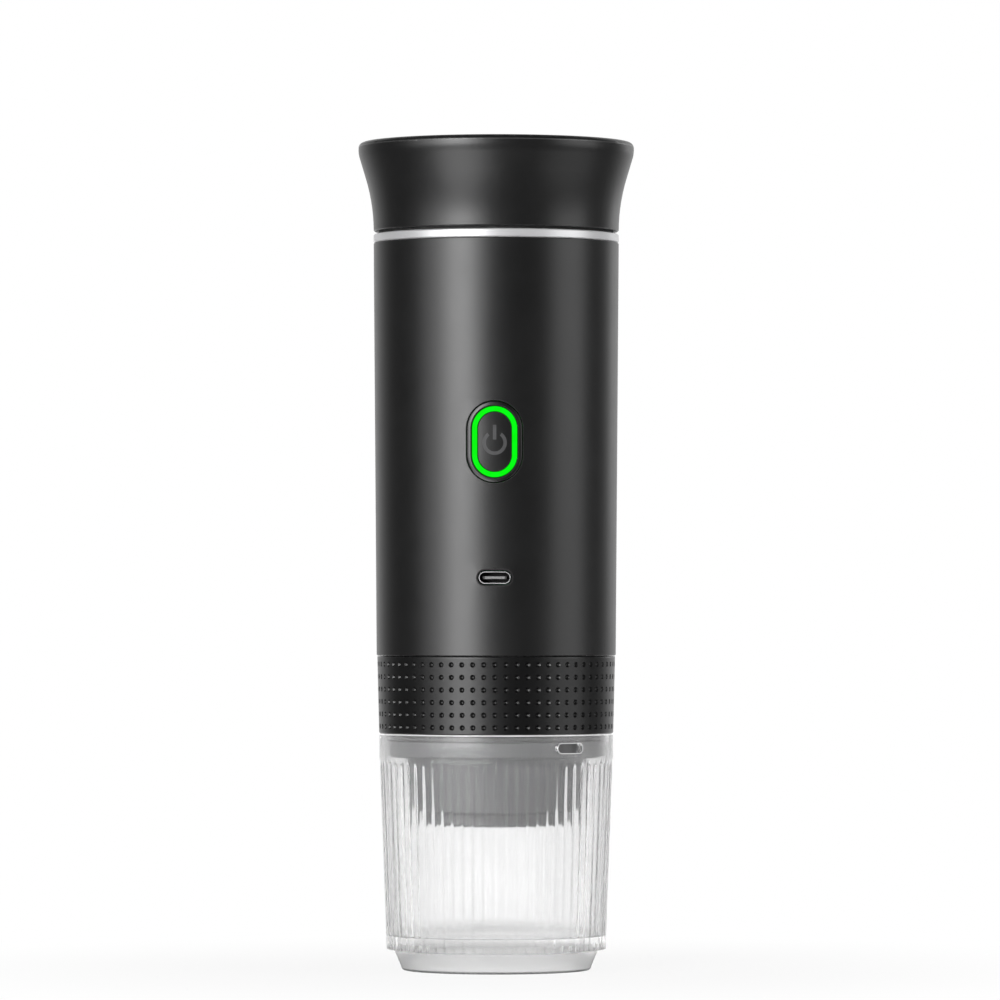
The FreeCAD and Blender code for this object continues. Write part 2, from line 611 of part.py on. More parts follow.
def make_lid_shell():
    inner_shoulder = "rim_radius - shoulder_inset - lid_wall"
    turned_body("lid_shell", [
        ("body_radius_top - lid_wall", LID_BASE),
        ("body_radius_top - edge_chamfer", LID_BASE),
        ("body_radius_top", f"{LID_BASE} + edge_chamfer"),
        ("body_radius_top + flare_swell", f"{LID_BASE} + flare_height", "flare_curve", 1),
        ("rim_radius - shoulder_inset", f"{LID_TOP} - shoulder_height"),
        ("rim_radius", f"{LID_TOP} - rim_rounding", "shoulder_curve", -1),
        ("rim_radius - rim_rounding", LID_TOP, "rim_rounding", -1),
        ("0", LID_TOP),
        ("0", f"{LID_TOP} - lid_wall"),
        (inner_shoulder, f"{LID_TOP} - lid_wall"),
        (inner_shoulder, f"{LID_TOP} - shoulder_height"),
        ("body_radius_top + flare_swell - lid_wall", f"{LID_BASE} + flare_height"),
        ("body_radius_top - lid_wall", f"{LID_BASE} + edge_chamfer", "flare_curve", -1),
    ])


def make_lid_liner():
    """The inner cap closes the lid from below and plugs the tank."""
    edge = "body_radius_top - lid_wall - grip_clearance"
    turned_body("lid_liner", [
        ("0", LID_BASE),
        (f"{PLUG_RADIUS} - plug_wall", LID_BASE),
        (f"{PLUG_RADIUS} - plug_wall", f"{TRIM_TOP} - plug_depth"),
        (PLUG_RADIUS, f"{TRIM_TOP} - plug_depth"),
        (PLUG_RADIUS, LID_BASE),
        (edge, LID_BASE),
        (edge, f"{LID_BASE} + lid_wall"),
        ("0", f"{LID_BASE} + lid_wall"),
    ])


def make_lid_gasket():
    inner = f"{PLUG_RADIUS} + plug_clearance"
    turned_body("lid_gasket", [
        (inner, TRIM_TOP),
        (f"{inner} + lid_gasket_width", TRIM_TOP),
        (f"{inner} + lid_gasket_width", LID_BASE),
        (inner, LID_BASE),
    ])


# The sleeve and the water tank


def make_outer_sleeve():
    lip_top = f"({BODY_TOP} - tank_wall)"
    inner_top = "body_radius_top - sleeve_wall"
    seat = "tank_radius + tank_wall + tank_flange + grip_clearance"
    body = turned_body("outer_sleeve", [
        ("body_radius_foot - sleeve_wall", BODY_BASE),
        ("body_radius_foot - edge_chamfer", BODY_BASE),
        ("body_radius_foot", f"{BODY_BASE} + edge_chamfer"),
        ("body_radius_top", f"{BODY_TOP} - edge_chamfer"),
        ("body_radius_top - edge_chamfer", BODY_TOP),
        (seat, BODY_TOP),
        (seat, lip_top),
        (LIP_BORE, lip_top),
        (LIP_BORE, f"{lip_top} - lip_depth"),
        (inner_top, f"{lip_top} - lip_depth - lip_slope"),
    ])
    sketch = new_sketch(body, "XZ_Plane")
    gap = "2 * bezel_gap"
    draw_stadium(sketch, "0", BUTTON_HEIGHT, f"bezel_width + {gap}", f"bezel_length + {gap}")
    port = ("port_width + 2 * port_gap", "port_opening + 2 * port_gap")
    draw_stadium(sketch, "0", PORT_HEIGHT, *port)
    cut(body, sketch, BEYOND, back=True)
    if body.Shape.Solids[0].CenterOfMass.y < 0:
        raise RuntimeError("the openings of the sleeve are at the back")


def make_trim_ring():
    bore = "tank_radius"
    turned_body("trim_ring", [
        (bore, BODY_TOP),
        ("body_radius_top - edge_chamfer", BODY_TOP),
        ("body_radius_top", f"{BODY_TOP} + edge_chamfer"),
        ("body_radius_top", f"{TRIM_TOP} - edge_chamfer"),
        ("body_radius_top - edge_chamfer", TRIM_TOP),
        (f"{bore} + edge_chamfer", TRIM_TOP),
        (bore, f"{TRIM_TOP} - edge_chamfer"),
    ])


def make_tank_liner():
    outer = "tank_radius + tank_wall"
    rounding = "(tank_rounding + tank_wall)"
    body = turned_body("tank_liner", [
        ("0", TANK_BASE),
        (f"{outer} - {rounding}", TANK_BASE),
        (outer, f"{TANK_BASE} + {rounding}", rounding, -1),
        (outer, f"{BODY_TOP} - tank_wall"),
        (f"{outer} + tank_flange", f"{BODY_TOP} - tank_wall"),
        (f"{outer} + tank_flange", BODY_TOP),
        ("tank_radius", BODY_TOP),
        ("tank_radius", f"{TANK_FLOOR} + tank_rounding"),
        ("tank_radius - tank_rounding", TANK_FLOOR, "tank_rounding", 1),
        ("0", TANK_FLOOR),
    ])
    sketch = new_sketch(body)
    draw_circle(sketch, HOSE_COLUMN, PUMP_Y, "barb_radius + shaft_clearance")
    cut(body, sketch)


def make_tank_outlet():
    """The fitting that the hose hangs on, with its flange inside the tank."""
    turned_body("tank_outlet", [
        ("water_bore", f"{TANK_FLOOR} - outlet_stem"),
        ("barb_radius", f"{TANK_FLOOR} - outlet_stem"),
        ("barb_radius", TANK_FLOOR),
        ("outlet_flange", TANK_FLOOR),
        ("outlet_flange", f"{TANK_FLOOR} + outlet_flange_height"),
        ("water_bore", f"{TANK_FLOOR} + outlet_flange_height"),
    ], HOSE_COLUMN, PUMP_Y)


def make_outlet_strainer():
    foot = f"{TANK_FLOOR} + outlet_flange_height"
    top = f"{foot} + strainer_height"
    body = turned_body("outlet_strainer", [
        ("outlet_flange - strainer_sheet", foot),
        ("outlet_flange", foot),
        ("outlet_flange", top),
        ("0", top),
        ("0", f"{top} - strainer_sheet"),
        ("outlet_flange - strainer_sheet", f"{top} - strainer_sheet"),
    ], HOSE_COLUMN, PUMP_Y)
    sketch = new_sketch(body, lift=foot)
    draw_circle(sketch, "outlet_flange / 2", "0", "hole_radius")
    repeat(body, cut(body, sketch), 6)


def make_heater_plate():
    body = turned_body("heater_plate", [
        ("0", HEATER_BASE),
        ("heater_radius", HEATER_BASE),
        ("heater_radius", TANK_BASE),
        ("0", TANK_BASE),
    ])
    sketch = new_sketch(body)
    draw_circle(sketch, HOSE_COLUMN, PUMP_Y, "barb_radius + seat_clearance")
    cut(body, sketch)


def make_heater_cushion():
    turned_body("heater_cushion", [
        ("cushion_radius - cushion_width", ROOF_TOP),
        ("cushion_radius", ROOF_TOP),
        ("cushion_radius", HEATER_BASE),
        ("cushion_radius - cushion_width", HEATER_BASE),
    ])


def make_temperature_sensor():
    kept(block("sensor", "sensor_size", "sensor_size", "heater_gap",
               "sensor_across", "sensor_along", ROOF_TOP), "temperature_sensor")


# The inner frame with the cells


def make_inner_frame():
    """Two discs on side posts and board rails hold everything inside the sleeve."""
    body = new_body("inner_frame")
    sketch = new_sketch(body, lift=SOCKET_TOP)
    draw_circle(sketch, "0", "0", SPREAD_RADIUS)
    draw_circle(sketch, "0", PUMP_Y, "spigot_radius + seat_clearance")
    pad(body, sketch, "frame_floor")
    sketch = new_sketch(body, lift=FLOOR_TOP)
    rail_middle = "(board_width / 2 - screw_inset)"
    rail_line = f"(0 - {BOARD_FRONT} + board_thickness + rail_depth / 2)"
    post_middle = f"({POST_OUTER} - post_width / 2)"
    for side in ("", "0 - "):
        post = ("post_width", "post_depth")
        draw_box(sketch, f"({side}{post_middle})", "(0 - post_depth / 2)", *post)
        draw_box(sketch, f"({side}{rail_middle})", rail_line, "rail_width", "rail_depth")
    pad(body, sketch, f"{ROOF_BASE} - {FLOOR_TOP}")
    sketch = new_sketch(body, lift=ROOF_BASE)
    draw_circle(sketch, "0", "0", ROOF_RADIUS)
    draw_circle(sketch, HOSE_COLUMN, PUMP_Y, "barb_radius + hose_wall + seat_clearance")
    for side in ("", "0 - "):
        lead = f"({side}(board_width / 2 - screw_inset - rail_width / 2 - 2 * lead_radius))"
        draw_circle(sketch, lead, f"(0 - {BOARD_FRONT} + board_thickness + lead_radius)",
                    "lead_radius + seat_clearance")
    pad(body, sketch, "frame_roof")
    sketch = new_sketch(body, "XZ_Plane", f"{BOARD_FRONT} - board_thickness")
    for x, z in board_screw_places():
        draw_circle(sketch, x, z, "screw_radius")
    cut(body, sketch, "rail_depth - blind_wall")
    sketch = new_sketch(body, lift=SOCKET_TOP)
    for x, y in group_screw_places():
        draw_circle(sketch, x, y, "screw_radius")
    cut(body, sketch, "frame_floor - blind_wall", back=True)


def make_battery_tray(label, base, pocket_base):
    body = new_body(label)
    sketch = new_sketch(body, lift=base)
    half = f"sqrt({TRAY_RADIUS}^2 - {TRAY_FRONT}^2)"
    draw(sketch, [(half, TRAY_FRONT), (f"0 - {half}", TRAY_FRONT, TRAY_RADIUS, -1)])
    pad(body, sketch, "tray_height")
    sketch = new_sketch(body, lift=pocket_base)
    for number in range(3):
        draw_circle(sketch, *cell_place(number), "cell_radius + cell_clearance")
    cut(body, sketch, "tray_height - tray_base", back=True)
    for side in (-0.5, 0.5):
        sketch = link_sketch(body, side, pocket_base, "2 * cell_clearance")
        cut(body, sketch, "tray_height - tray_base", back=True)


def link_sketch(body, side, base, room):
    """The bar between the middle cell and the one on a side of it."""
    sketch = new_sketch(body, lift=base, turn=(Vector(0, 0, 1), f"90 + {side} * {CELL_SPREAD}"))
    draw_box(sketch, f"{CELL_CIRCLE} * cos({CELL_SPREAD} / 2)", "0", f"link_width / 2 + {room}",
             f"2 * {CELL_CIRCLE} * sin({CELL_SPREAD} / 2)")
    return sketch


def cell_place(number):
    return on_circle(CELL_CIRCLE, f"(90 + {number - 1} * {CELL_SPREAD})")


def make_battery_cell(number):
    turned_body(f"battery_cell_{number + 1}", [
        ("0", CELL_BASE),
        ("cell_radius - cell_edge", CELL_BASE),
        ("cell_radius", f"{CELL_BASE} + cell_edge", "cell_edge", -1),
        ("cell_radius", f"{CELL_TOP} - cell_tip - cell_crimp"),
        ("cell_radius - cell_crimp", f"{CELL_TOP} - cell_tip", "cell_crimp", -1),
        ("cell_radius / 3", f"{CELL_TOP} - cell_tip"),
        ("cell_radius / 3", CELL_TOP),
        ("0", CELL_TOP),
    ], *cell_place(number))


def make_cell_links():
    """A nickel strip under the cells and one over them."""
    body = new_body("cell_links")
    body.AllowCompound = True
    for base in (f"({FLOOR_TOP} + tray_base)", CELL_TOP):
        sketch = new_sketch(body, lift=base)
        for number in range(3):
            draw_circle(sketch, *cell_place(number), "link_width / 2")
        pad(body, sketch, "link_thickness")
        for side in (-0.5, 0.5):
            pad(body, link_sketch(body, side, base, "0"), "link_thickness")


# The control board, the button and the charging socket


def board_screw_places():
    across = "(board_width / 2 - screw_inset)"
    base = f"({FLOOR_TOP} + board_rise)"
    heights = (f"{base} + screw_drop", f"{base} + board_height - screw_drop")
    return [(f"({side}{across})", height) for side in ("", "0 - ") for height in heights]


def make_control_board():
    body = new_body("control_board")
    sketch = new_sketch(body, "XZ_Plane", f"{BOARD_FRONT} - board_thickness")
    middle = f"({FLOOR_TOP} + board_rise + board_height / 2)"
    draw_box(sketch, "0", middle, "board_width", "board_height")
    for x, z in board_screw_places():
        draw_circle(sketch, x, z, "screw_radius + bolt_clearance")
    pad(body, sketch, "board_thickness")


def make_board_screws():
    body = new_body("board_screws")
    body.AllowCompound = True
    shank = "(board_thickness + screw_length - blind_wall)"
    sketch = new_sketch(body, "XZ_Plane", f"{BOARD_FRONT} - {shank}")
    heads = new_sketch(body, "XZ_Plane", BOARD_FRONT)
    for x, z in board_screw_places():
        draw_circle(sketch, x, z, "screw_radius")
        draw_circle(heads, x, z, "screw_head")
    pad(body, sketch, shank)
    pad(body, heads, "screw_head_height")


def make_tact_switch():
    body = new_body("tact_switch")
    sketch = new_sketch(body, "XZ_Plane", BOARD_FRONT)
    draw_box(sketch, "0", BUTTON_HEIGHT, "switch_size", "switch_size")
    pad(body, sketch, "switch_height")
    sketch = new_sketch(body, "XZ_Plane", f"{BOARD_FRONT} + switch_height")
    draw_circle(sketch, "0", BUTTON_HEIGHT, "plunger_radius + plunger_clearance")
    cut(body, sketch, "switch_height - switch_floor")


def make_ring_leds():
    lamps = []
    reach = "(ring_width / 2 - ring_stroke / 2)"
    for side in ("", "0 - "):
        for lift in ("", "0 - "):
            lamp = block("lamp", "led_size", "led_height", "led_size",
                         f"({side}{reach}) - led_size / 2", f"0 - {BOARD_FRONT} - led_height",
                         f"{BUTTON_HEIGHT} + ({lift}ring_length / 5) - led_size / 2")
            lamps.append(lamp)
    kept(group("lamps", lamps), "ring_leds")


def make_button_bezel():
    body = new_body("button_bezel")
    sketch = new_sketch(body, "XZ_Plane", BEZEL_BACK)
    draw_stadium(sketch, "0", BUTTON_HEIGHT, "bezel_width", "bezel_length")
    gap = "2 * button_gap"
    draw_stadium(sketch, "0", BUTTON_HEIGHT, f"ring_width + {gap}", f"ring_length + {gap}")
    pad(body, sketch, "blank_depth")
    trim_front(body, PANEL_RADIUS)


def make_light_ring():
    body = new_body("light_ring")
    sketch = new_sketch(body, "XZ_Plane", BEZEL_BACK)
    draw_stadium(sketch, "0", BUTTON_HEIGHT, "ring_width", "ring_length")
    inner = ("ring_width - 2 * ring_stroke", "ring_length - 2 * ring_stroke")
    draw_stadium(sketch, "0", BUTTON_HEIGHT, *inner)
    pad(body, sketch, "blank_depth")
    trim_front(body, PANEL_RADIUS)


def draw_symbol(sketch):
    """The usual power sign: an open ring and a bar."""
    middle = f"({BUTTON_HEIGHT} - symbol_drop)"
    outer, inner = "symbol_radius", "(symbol_radius - symbol_stroke)"
    right = [on_circle(radius, "(90 - symbol_gap)", "0", middle) for radius in (outer, inner)]
    left = [on_circle(radius, "(90 + symbol_gap)", "0", middle) for radius in (outer, inner)]
    low = f"({middle} - {{}})"
    draw(sketch, [
        right[0],
        ("0", low.format(outer), outer, 1),
        (*left[0], outer, 1),
        left[1],
        ("0", low.format(inner), inner, -1),
        (*right[1], inner, -1),
    ])
    bar_middle = f"({middle} + bar_rise + symbol_bar / 2)"
    draw_box(sketch, "0", bar_middle, "symbol_stroke", "symbol_bar")


def make_power_button():
    """The cap, with the stem that pushes the switch."""
    body = new_body("power_button")
    sketch = new_sketch(body, "XZ_Plane", CAP_BACK)
    room = "2 * (ring_stroke + button_gap)"
    draw_stadium(sketch, "0", BUTTON_HEIGHT, f"ring_width - {room}", f"ring_length - {room}")
    pad(body, sketch, "blank_depth")
    trim_front(body, PANEL_RADIUS)
    sketch = new_sketch(body, "XZ_Plane", SYMBOL_FLOOR)
    draw_symbol(sketch)
    cut(body, sketch, "blank_depth", back=True)
    stem_end = f"({BOARD_FRONT} + switch_floor + button_travel + plunger_clearance)"
    sketch = new_sketch(body, "XZ_Plane", stem_end)
    draw_circle(sketch, "0", BUTTON_HEIGHT, "plunger_radius")
    pad(body, sketch, f"{CAP_BACK} - {stem_end}")


def make_power_symbol():
    body = new_body("power_symbol")
    body.AllowCompound = True
    sketch = new_sketch(body, "XZ_Plane", SYMBOL_FLOOR)
    draw_symbol(sketch)
    pad(body, sketch, "blank_depth")
    trim_front(body, PANEL_RADIUS)


def make_usb_socket_shell():
    body = new_body("usb_socket_shell")
    size = ("port_width", "port_opening")
    sketch = new_sketch(body, "XZ_Plane", BOARD_FRONT)
    draw_stadium(sketch, "0", PORT_HEIGHT, *size)
    pad(body, sketch, f"{PORT_FRONT} - {BOARD_FRONT}")
    sketch = new_sketch(body, "XZ_Plane", PORT_FRONT)
    hollow = [f"{side} - 2 * port_wall" for side in size]
    draw_stadium(sketch, "0", PORT_HEIGHT, *hollow)
    cut(body, sketch, f"{PORT_FRONT} - {BOARD_FRONT} - port_back")


def make_usb_socket_tongue():
    depth = f"{PORT_FRONT} - {BOARD_FRONT} - port_back - tongue_inset"
    kept(block("tongue", "tongue_width", depth, "tongue_thickness",
               "0 - tongue_width / 2", f"0 - {PORT_FRONT} + tongue_inset",
               f"{PORT_HEIGHT} - tongue_thickness / 2"), "usb_socket_tongue")


def path_pipe(body, role, lift, runs, bend, wall, profile_role, profile_lift, centre):
    """A tube or wire along two straight runs joined by an arc."""
    profile = new_sketch(body, profile_role, profile_lift)
    for radius in wall:
        draw_circle(profile, *centre, radius)
    path = new_sketch(body, role, lift)
    first, corner, last = [Vector(measure(a), measure(b), 0) for a, b in runs]
    near = corner + (first - corner).normalize() * measure(bend)
    far = corner + (last - corner).normalize() * measure(bend)
    middle = near + far - corner
    inside = middle + (corner - middle).normalize() * measure(bend)
    path.addGeometry(Part.LineSegment(first, near), False)
    near_end, far_end = draw_arc(path, near, inside, far)
    path.addGeometry(Part.LineSegment(far, last), False)
    path.addConstraint(Sketcher.Constraint("Tangent", 0, 2, 1, near_end))
    path.addConstraint(Sketcher.Constraint("Tangent", 1, far_end, 2, 1))
    fix_point(path, 0, 1, *runs[0])
    fix_point(path, 2, 2, *runs[2])
    for edge in (0, 2):
        run = path.Geometry[edge]
        level = abs(run.StartPoint.y - run.EndPoint.y) < 1e-6
        path.addConstraint(Sketcher.Constraint("Horizontal" if level else "Vertical", edge))
    fix(path, "Radius", 1, bend)
    pipe = body.newObject("PartDesign::AdditivePipe", body.Label + "_pipe")
    pipe.Profile = profile
    pipe.Spine = path


# The motor, the gearbox and the pump


def make_motor_can():
    inner = "(motor_radius - motor_wall)"
    hole = "shaft_radius + shaft_clearance"
    turned_body("motor_can", [
        (hole, MOTOR_BASE),
        ("motor_radius", MOTOR_BASE),
        ("motor_radius", MOTOR_TOP),
        (inner, MOTOR_TOP),
        (inner, f"{MOTOR_BASE} + motor_wall"),
        ("bearing_radius", f"{MOTOR_BASE} + motor_wall"),
        ("bearing_radius", f"{MOTOR_BASE} + bearing_height"),
        (hole, f"{MOTOR_BASE} + bearing_height"),
    ], "0", PUMP_Y)


def make_motor_end_cap():
    hole = "shaft_radius + shaft_clearance"
    inner = "motor_radius - motor_wall - bolt_clearance"
    turned_body("motor_end_cap", [
        (hole, f"{MOTOR_TOP} - cap_insert"),
        (inner, f"{MOTOR_TOP} - cap_insert"),
        (inner, MOTOR_TOP),
        ("motor_radius", MOTOR_TOP),
        ("motor_radius", f"{MOTOR_TOP} + end_cap_height - cap_boss"),
        ("cap_boss_radius", f"{MOTOR_TOP} + end_cap_height - cap_boss"),
        ("cap_boss_radius", f"{MOTOR_TOP} + end_cap_height"),
        (hole, f"{MOTOR_TOP} + end_cap_height"),
    ], "0", PUMP_Y)


def make_motor_magnets():
    """Two curved magnets that line the can."""
    outer = "(motor_radius - motor_wall - bolt_clearance)"
    inner = f"({outer} - magnet_thickness)"
    body = new_body("motor_magnets", "0", PUMP_Y)
    body.AllowCompound = True
    sketch = new_sketch(body, lift=f"{MOTOR_BASE} + magnet_rise")
    for side in ("", "180 + "):
        corners = [(*on_circle(radius, f"({side}{angle})"),)
                   for radius, angle in ((inner, "magnet_reach"), (inner, "0 - magnet_reach"),
                                         (outer, "0 - magnet_reach"), (outer, "magnet_reach"))]
        draw(sketch, [corners[0], (*corners[1], inner, 1), corners[2], (*corners[3], outer, -1)])
    pad(body, sketch, "magnet_height")


def make_armature():
    body = new_body("motor_armature", "0", PUMP_Y)
    outer = "(motor_radius - motor_wall - bolt_clearance - magnet_thickness - air_gap)"
    sketch = new_sketch(body, lift=f"{MOTOR_BASE} + armature_rise")
    draw_circle(sketch, "0", "0", outer)
    draw_circle(sketch, "0", "0", "shaft_radius")
    pad(body, sketch, "armature_height")
    sketch = new_sketch(body, lift=f"{MOTOR_BASE} + armature_rise")
    draw_box(sketch, f"({outer} - slot_depth / 2 + cut_margin / 2)", "0",
             "slot_depth + cut_margin", "slot_width")
    repeat(body, cut(body, sketch, "armature_height", back=True), 5)


def make_motor_shaft():
    base = f"{PLANET_BASE} - shaft_gap"
    top = f"{MOTOR_TOP} + end_cap_height - shaft_inset"
    turned_body("motor_shaft", [
        ("0", base),
        ("shaft_radius", base),
        ("shaft_radius", top),
        ("0", top),
    ], "0", PUMP_Y)


PRESSURE_ANGLE = 20


def involute(angle):
    return math.tan(angle) - angle


def gear_outline(teeth, tip, root, thinner, turn):
    """The corners of a gear, its first tooth at the angle turn, in radians."""
    pitch = teeth * measure("tooth_module") / 2
    pressure = math.radians(PRESSURE_ANGLE)
    base = pitch * math.cos(pressure)
    half_pitch = math.pi / (2 * teeth) - thinner / (2 * pitch)
    steps = [root + (tip - root) * share for share in (0, 0.35, 0.7, 1)]
    flank = []
    for radius in steps:
        slope = math.acos(min(1, base / radius))
        flank.append((radius, half_pitch + involute(pressure) - involute(slope)))
    corners = []
    for tooth in range(teeth):
        middle = turn + 2 * math.pi * tooth / teeth
        corners += [(radius, middle - half) for radius, half in flank]
        corners += [(radius, middle + half) for radius, half in reversed(flank)]
    points = [Vector(radius * math.cos(a), radius * math.sin(a), 0) for radius, a in corners]
    return Part.Face(Part.Wire(Part.makePolygon(points + points[:1])))


def round_face(radius):
    return Part.Face(Part.Wire(Part.makeCircle(radius)))


def gear_piece(label, face, height, x, y, z):
    gear = doc.addObject("Part::Feature", label)
    gear.Shape = face.extrude(Vector(0, 0, height))
    gear.Placement = Placement(Vector(x, y, z), Rotation())
    return kept(gear, label)


def make_gears():
    """The pinion turns three planets, which roll inside the ring gear and take the carrier along."""
    module = measure("tooth_module")
    play = measure("gear_play") / 2
    width = measure("gear_width")
    axis, base = measure(PUMP_Y), measure(PLANET_BASE)
    sun, planet, ring = [int(measure(f"{n}_teeth")) for n in ("sun", "planet", "ring")]
    addendum, dedendum = 0.8 * module, 1.1 * module
    sun_pitch, planet_pitch, ring_pitch = [n * module / 2 for n in (sun, planet, ring)]
    outline = gear_outline(sun, sun_pitch + addendum, sun_pitch - dedendum, play, 0)
    pinion = outline.cut(round_face(measure("shaft_radius")))
    gear_piece("sun_pinion", pinion, width, 0, axis, base)
    hole = round_face(measure("planet_pin + shaft_clearance"))
    for number in range(3):
        angle = 2 * math.pi * number / 3
        turn = angle + math.pi / planet
        outline = gear_outline(planet, planet_pitch + addendum, planet_pitch - dedendum,
                               play, turn)
        reach = sun_pitch + planet_pitch
        gear_piece(f"planet_gear_{number + 1}", outline.cut(hole), width,
                   reach * math.cos(angle), axis + reach * math.sin(angle), base)
    space = gear_outline(ring, ring_pitch + dedendum, ring_pitch - addendum, -play,
                         math.pi / ring)
    rim = round_face(measure("pump_radius")).cut(space)
    for x, y in bolt_places():
        hole = round_face(measure("screw_radius + bolt_clearance"))
        hole.translate(Vector(measure(x), measure(y), 0))
        rim = rim.cut(hole)
    gear_piece("ring_gear", rim, measure("gearbox_height"), 0, axis, measure(GEAR_BASE))


def bolt_places():
    return [on_circle(BOLT_CIRCLE, str(60 + 120 * number)) for number in range(3)]


def make_planet_carrier():
    """The disc with three pins, and the output shaft below it."""
    reach = "((sun_teeth + planet_teeth) * tooth_module / 2)"
    body = new_body("planet_carrier", "0", PUMP_Y)
    sketch = new_sketch(body, lift=CARRIER_BASE)
    draw_circle(sketch, "0", "0", "carrier_radius")
    pad(body, sketch, "carrier_thickness")
    shaft = new_sketch(body, lift=CARRIER_BASE)
    draw_circle(shaft, "0", "0", "output_radius")
    pad(body, shaft, "carrier_gap + housing_roof + cam_gap + cam_socket", back=True)
    pin = new_sketch(body, lift=f"{CARRIER_BASE} + carrier_thickness")
    draw_circle(pin, reach, "0", "planet_pin")
    repeat(body, pad(body, pin, "gear_width + pin_overrun"), 3)


def make_drive_cam():
    """The cam leans the wobble plate through a slanted hole."""
    body = new_body("drive_cam", "0", PUMP_Y)
    top = f"({GEAR_BASE} - housing_roof - cam_gap)"
    base = f"({WOBBLE_HEIGHT} + cam_drop)"
    sketch = new_sketch(body, lift=base)
    draw_circle(sketch, "0", "0", "cam_radius")
    pad(body, sketch, f"{top} - {base}")
    sketch = new_sketch(body, lift=top)
    draw_circle(sketch, "0", "0", "output_radius")
    cut(body, sketch, "cam_socket")
    sketch = new_sketch(body, lift=WOBBLE_HEIGHT, turn=(Vector(0, 1, 0), "wobble_tilt"))
    draw_circle(sketch, "0", "0", "wobble_pin + shaft_clearance")
    cut(body, sketch, "wobble_pin_length + pin_room", back=True)


def make_wobble_plate():
    """Three arms that hold the rubber studs, on a slanted pin."""
    body = new_body("wobble_plate", "0", PUMP_Y)
    place(body, "0", PUMP_Y, WOBBLE_HEIGHT)
    body.Placement.Rotation = Rotation(Vector(0, 1, 0), measure("wobble_tilt"))
    body.setExpression("Placement.Rotation.Angle", bound("wobble_tilt"))
    base = "(0 - wobble_thickness / 2)"
    sketch = new_sketch(body, lift=base)
    draw_circle(sketch, "0", "0", "wobble_hub")
    pad(body, sketch, "wobble_thickness")
    sketch = new_sketch(body, lift=base)
    draw_stadium(sketch, "0", "(chamber_circle / 2)", "2 * pad_radius",
                 "chamber_circle + 2 * pad_radius")
    repeat(body, pad(body, sketch, "wobble_thickness"), 3)
    sketch = new_sketch(body, lift=base)
    draw_circle(sketch, "0", "chamber_circle", "stud_radius + stud_clearance")
    repeat(body, cut(body, sketch, "wobble_thickness", back=True), 3)
    sketch = new_sketch(body, lift="wobble_thickness / 2")
    draw_circle(sketch, "0", "0", "wobble_pin")
    pad(body, sketch, "wobble_pin_length - wobble_thickness / 2")


def make_pump_housing():
    body = turned_body("pump_housing", [
        ("housing_bore", HOUSING_BASE),
        ("pump_radius", HOUSING_BASE),
        ("pump_radius", GEAR_BASE),
        ("output_radius + bolt_clearance", GEAR_BASE),
        ("output_radius + bolt_clearance", f"{GEAR_BASE} - housing_roof"),
        ("housing_bore", f"{GEAR_BASE} - housing_roof"),
    ], "0", PUMP_Y)
    drill_bolts(body)


def drill_bolts(body):
    sketch = new_sketch(body)
    for x, y in bolt_places():
        draw_circle(sketch, x, y, "screw_radius + bolt_clearance")
    cut(body, sketch)


def make_pump_diaphragm():
    """One rubber moulding: three hollow cones with studs that the wobble plate pulls."""
    solids = [rod("flange", "pump_radius", "diaphragm_flange", "0", PUMP_Y, FLANGE_BASE)]
    hollows = []
    for number in range(3):
        angle = f"({90 + 120 * number})"
        x, y = on_circle("chamber_circle", angle, "0", PUMP_Y)
        middle = f"({WOBBLE_HEIGHT} - chamber_circle * cos{angle} * sin(wobble_tilt))"
        below = f"({middle} - wobble_thickness / 2 - stud_play)"
        above = f"({middle} + wobble_thickness / 2 + stud_play)"
        solids.append(rod("cone", "chamber_radius", f"{below} - {HOUSING_BASE}", x, y,
                          HOUSING_BASE, "stud_radius + rubber_wall"))
        solids.append(rod("stud", "stud_radius", f"{above} - {below} + stud_head", x, y, below))
        solids.append(rod("stud_head", "stud_radius + stud_clearance + stud_grip", "stud_head",
                          x, y, above))
        hollow = "chamber_radius - rubber_wall"
        hollows.append(rod("chamber", hollow, "diaphragm_flange", x, y, FLANGE_BASE))
        hollows.append(rod("chamber_top", hollow, f"{below} - {HOUSING_BASE} - rubber_wall",
                           x, y, HOUSING_BASE, "stud_radius"))
    for x, y in bolt_places():
        hollows.append(rod("bolt_hole", "screw_radius + bolt_clearance", "diaphragm_flange", x,
                           f"({y} + {PUMP_Y})", FLANGE_BASE))
    kept(without("rubber", joined("rubber_solid", solids), hollows), "pump_diaphragm")


def make_valve_plate():
    body = new_body("valve_plate", "0", PUMP_Y)
    sketch = new_sketch(body, lift=VALVE_BASE)
    draw_circle(sketch, "0", "0", "pump_radius")
    draw_circle(sketch, "0", "0", "valve_stem + shaft_clearance")
    for x, y in bolt_places():
        draw_circle(sketch, x, y, "screw_radius + bolt_clearance")
    for number in range(3):
        angle = 90 + 120 * number
        draw_circle(sketch, *on_circle("valve_circle", angle), "valve_stem + shaft_clearance")
        for sign in "+-":
            aside = f"({angle} {sign} inlet_port_angle)"
            draw_circle(sketch, *on_circle("valve_circle", aside), "inlet_port")
        place_out = on_circle("(outlet_chamber - outlet_port_inset)", angle)
        draw_circle(sketch, *place_out, "outlet_port")
    pad(body, sketch, "valve_plate_height")


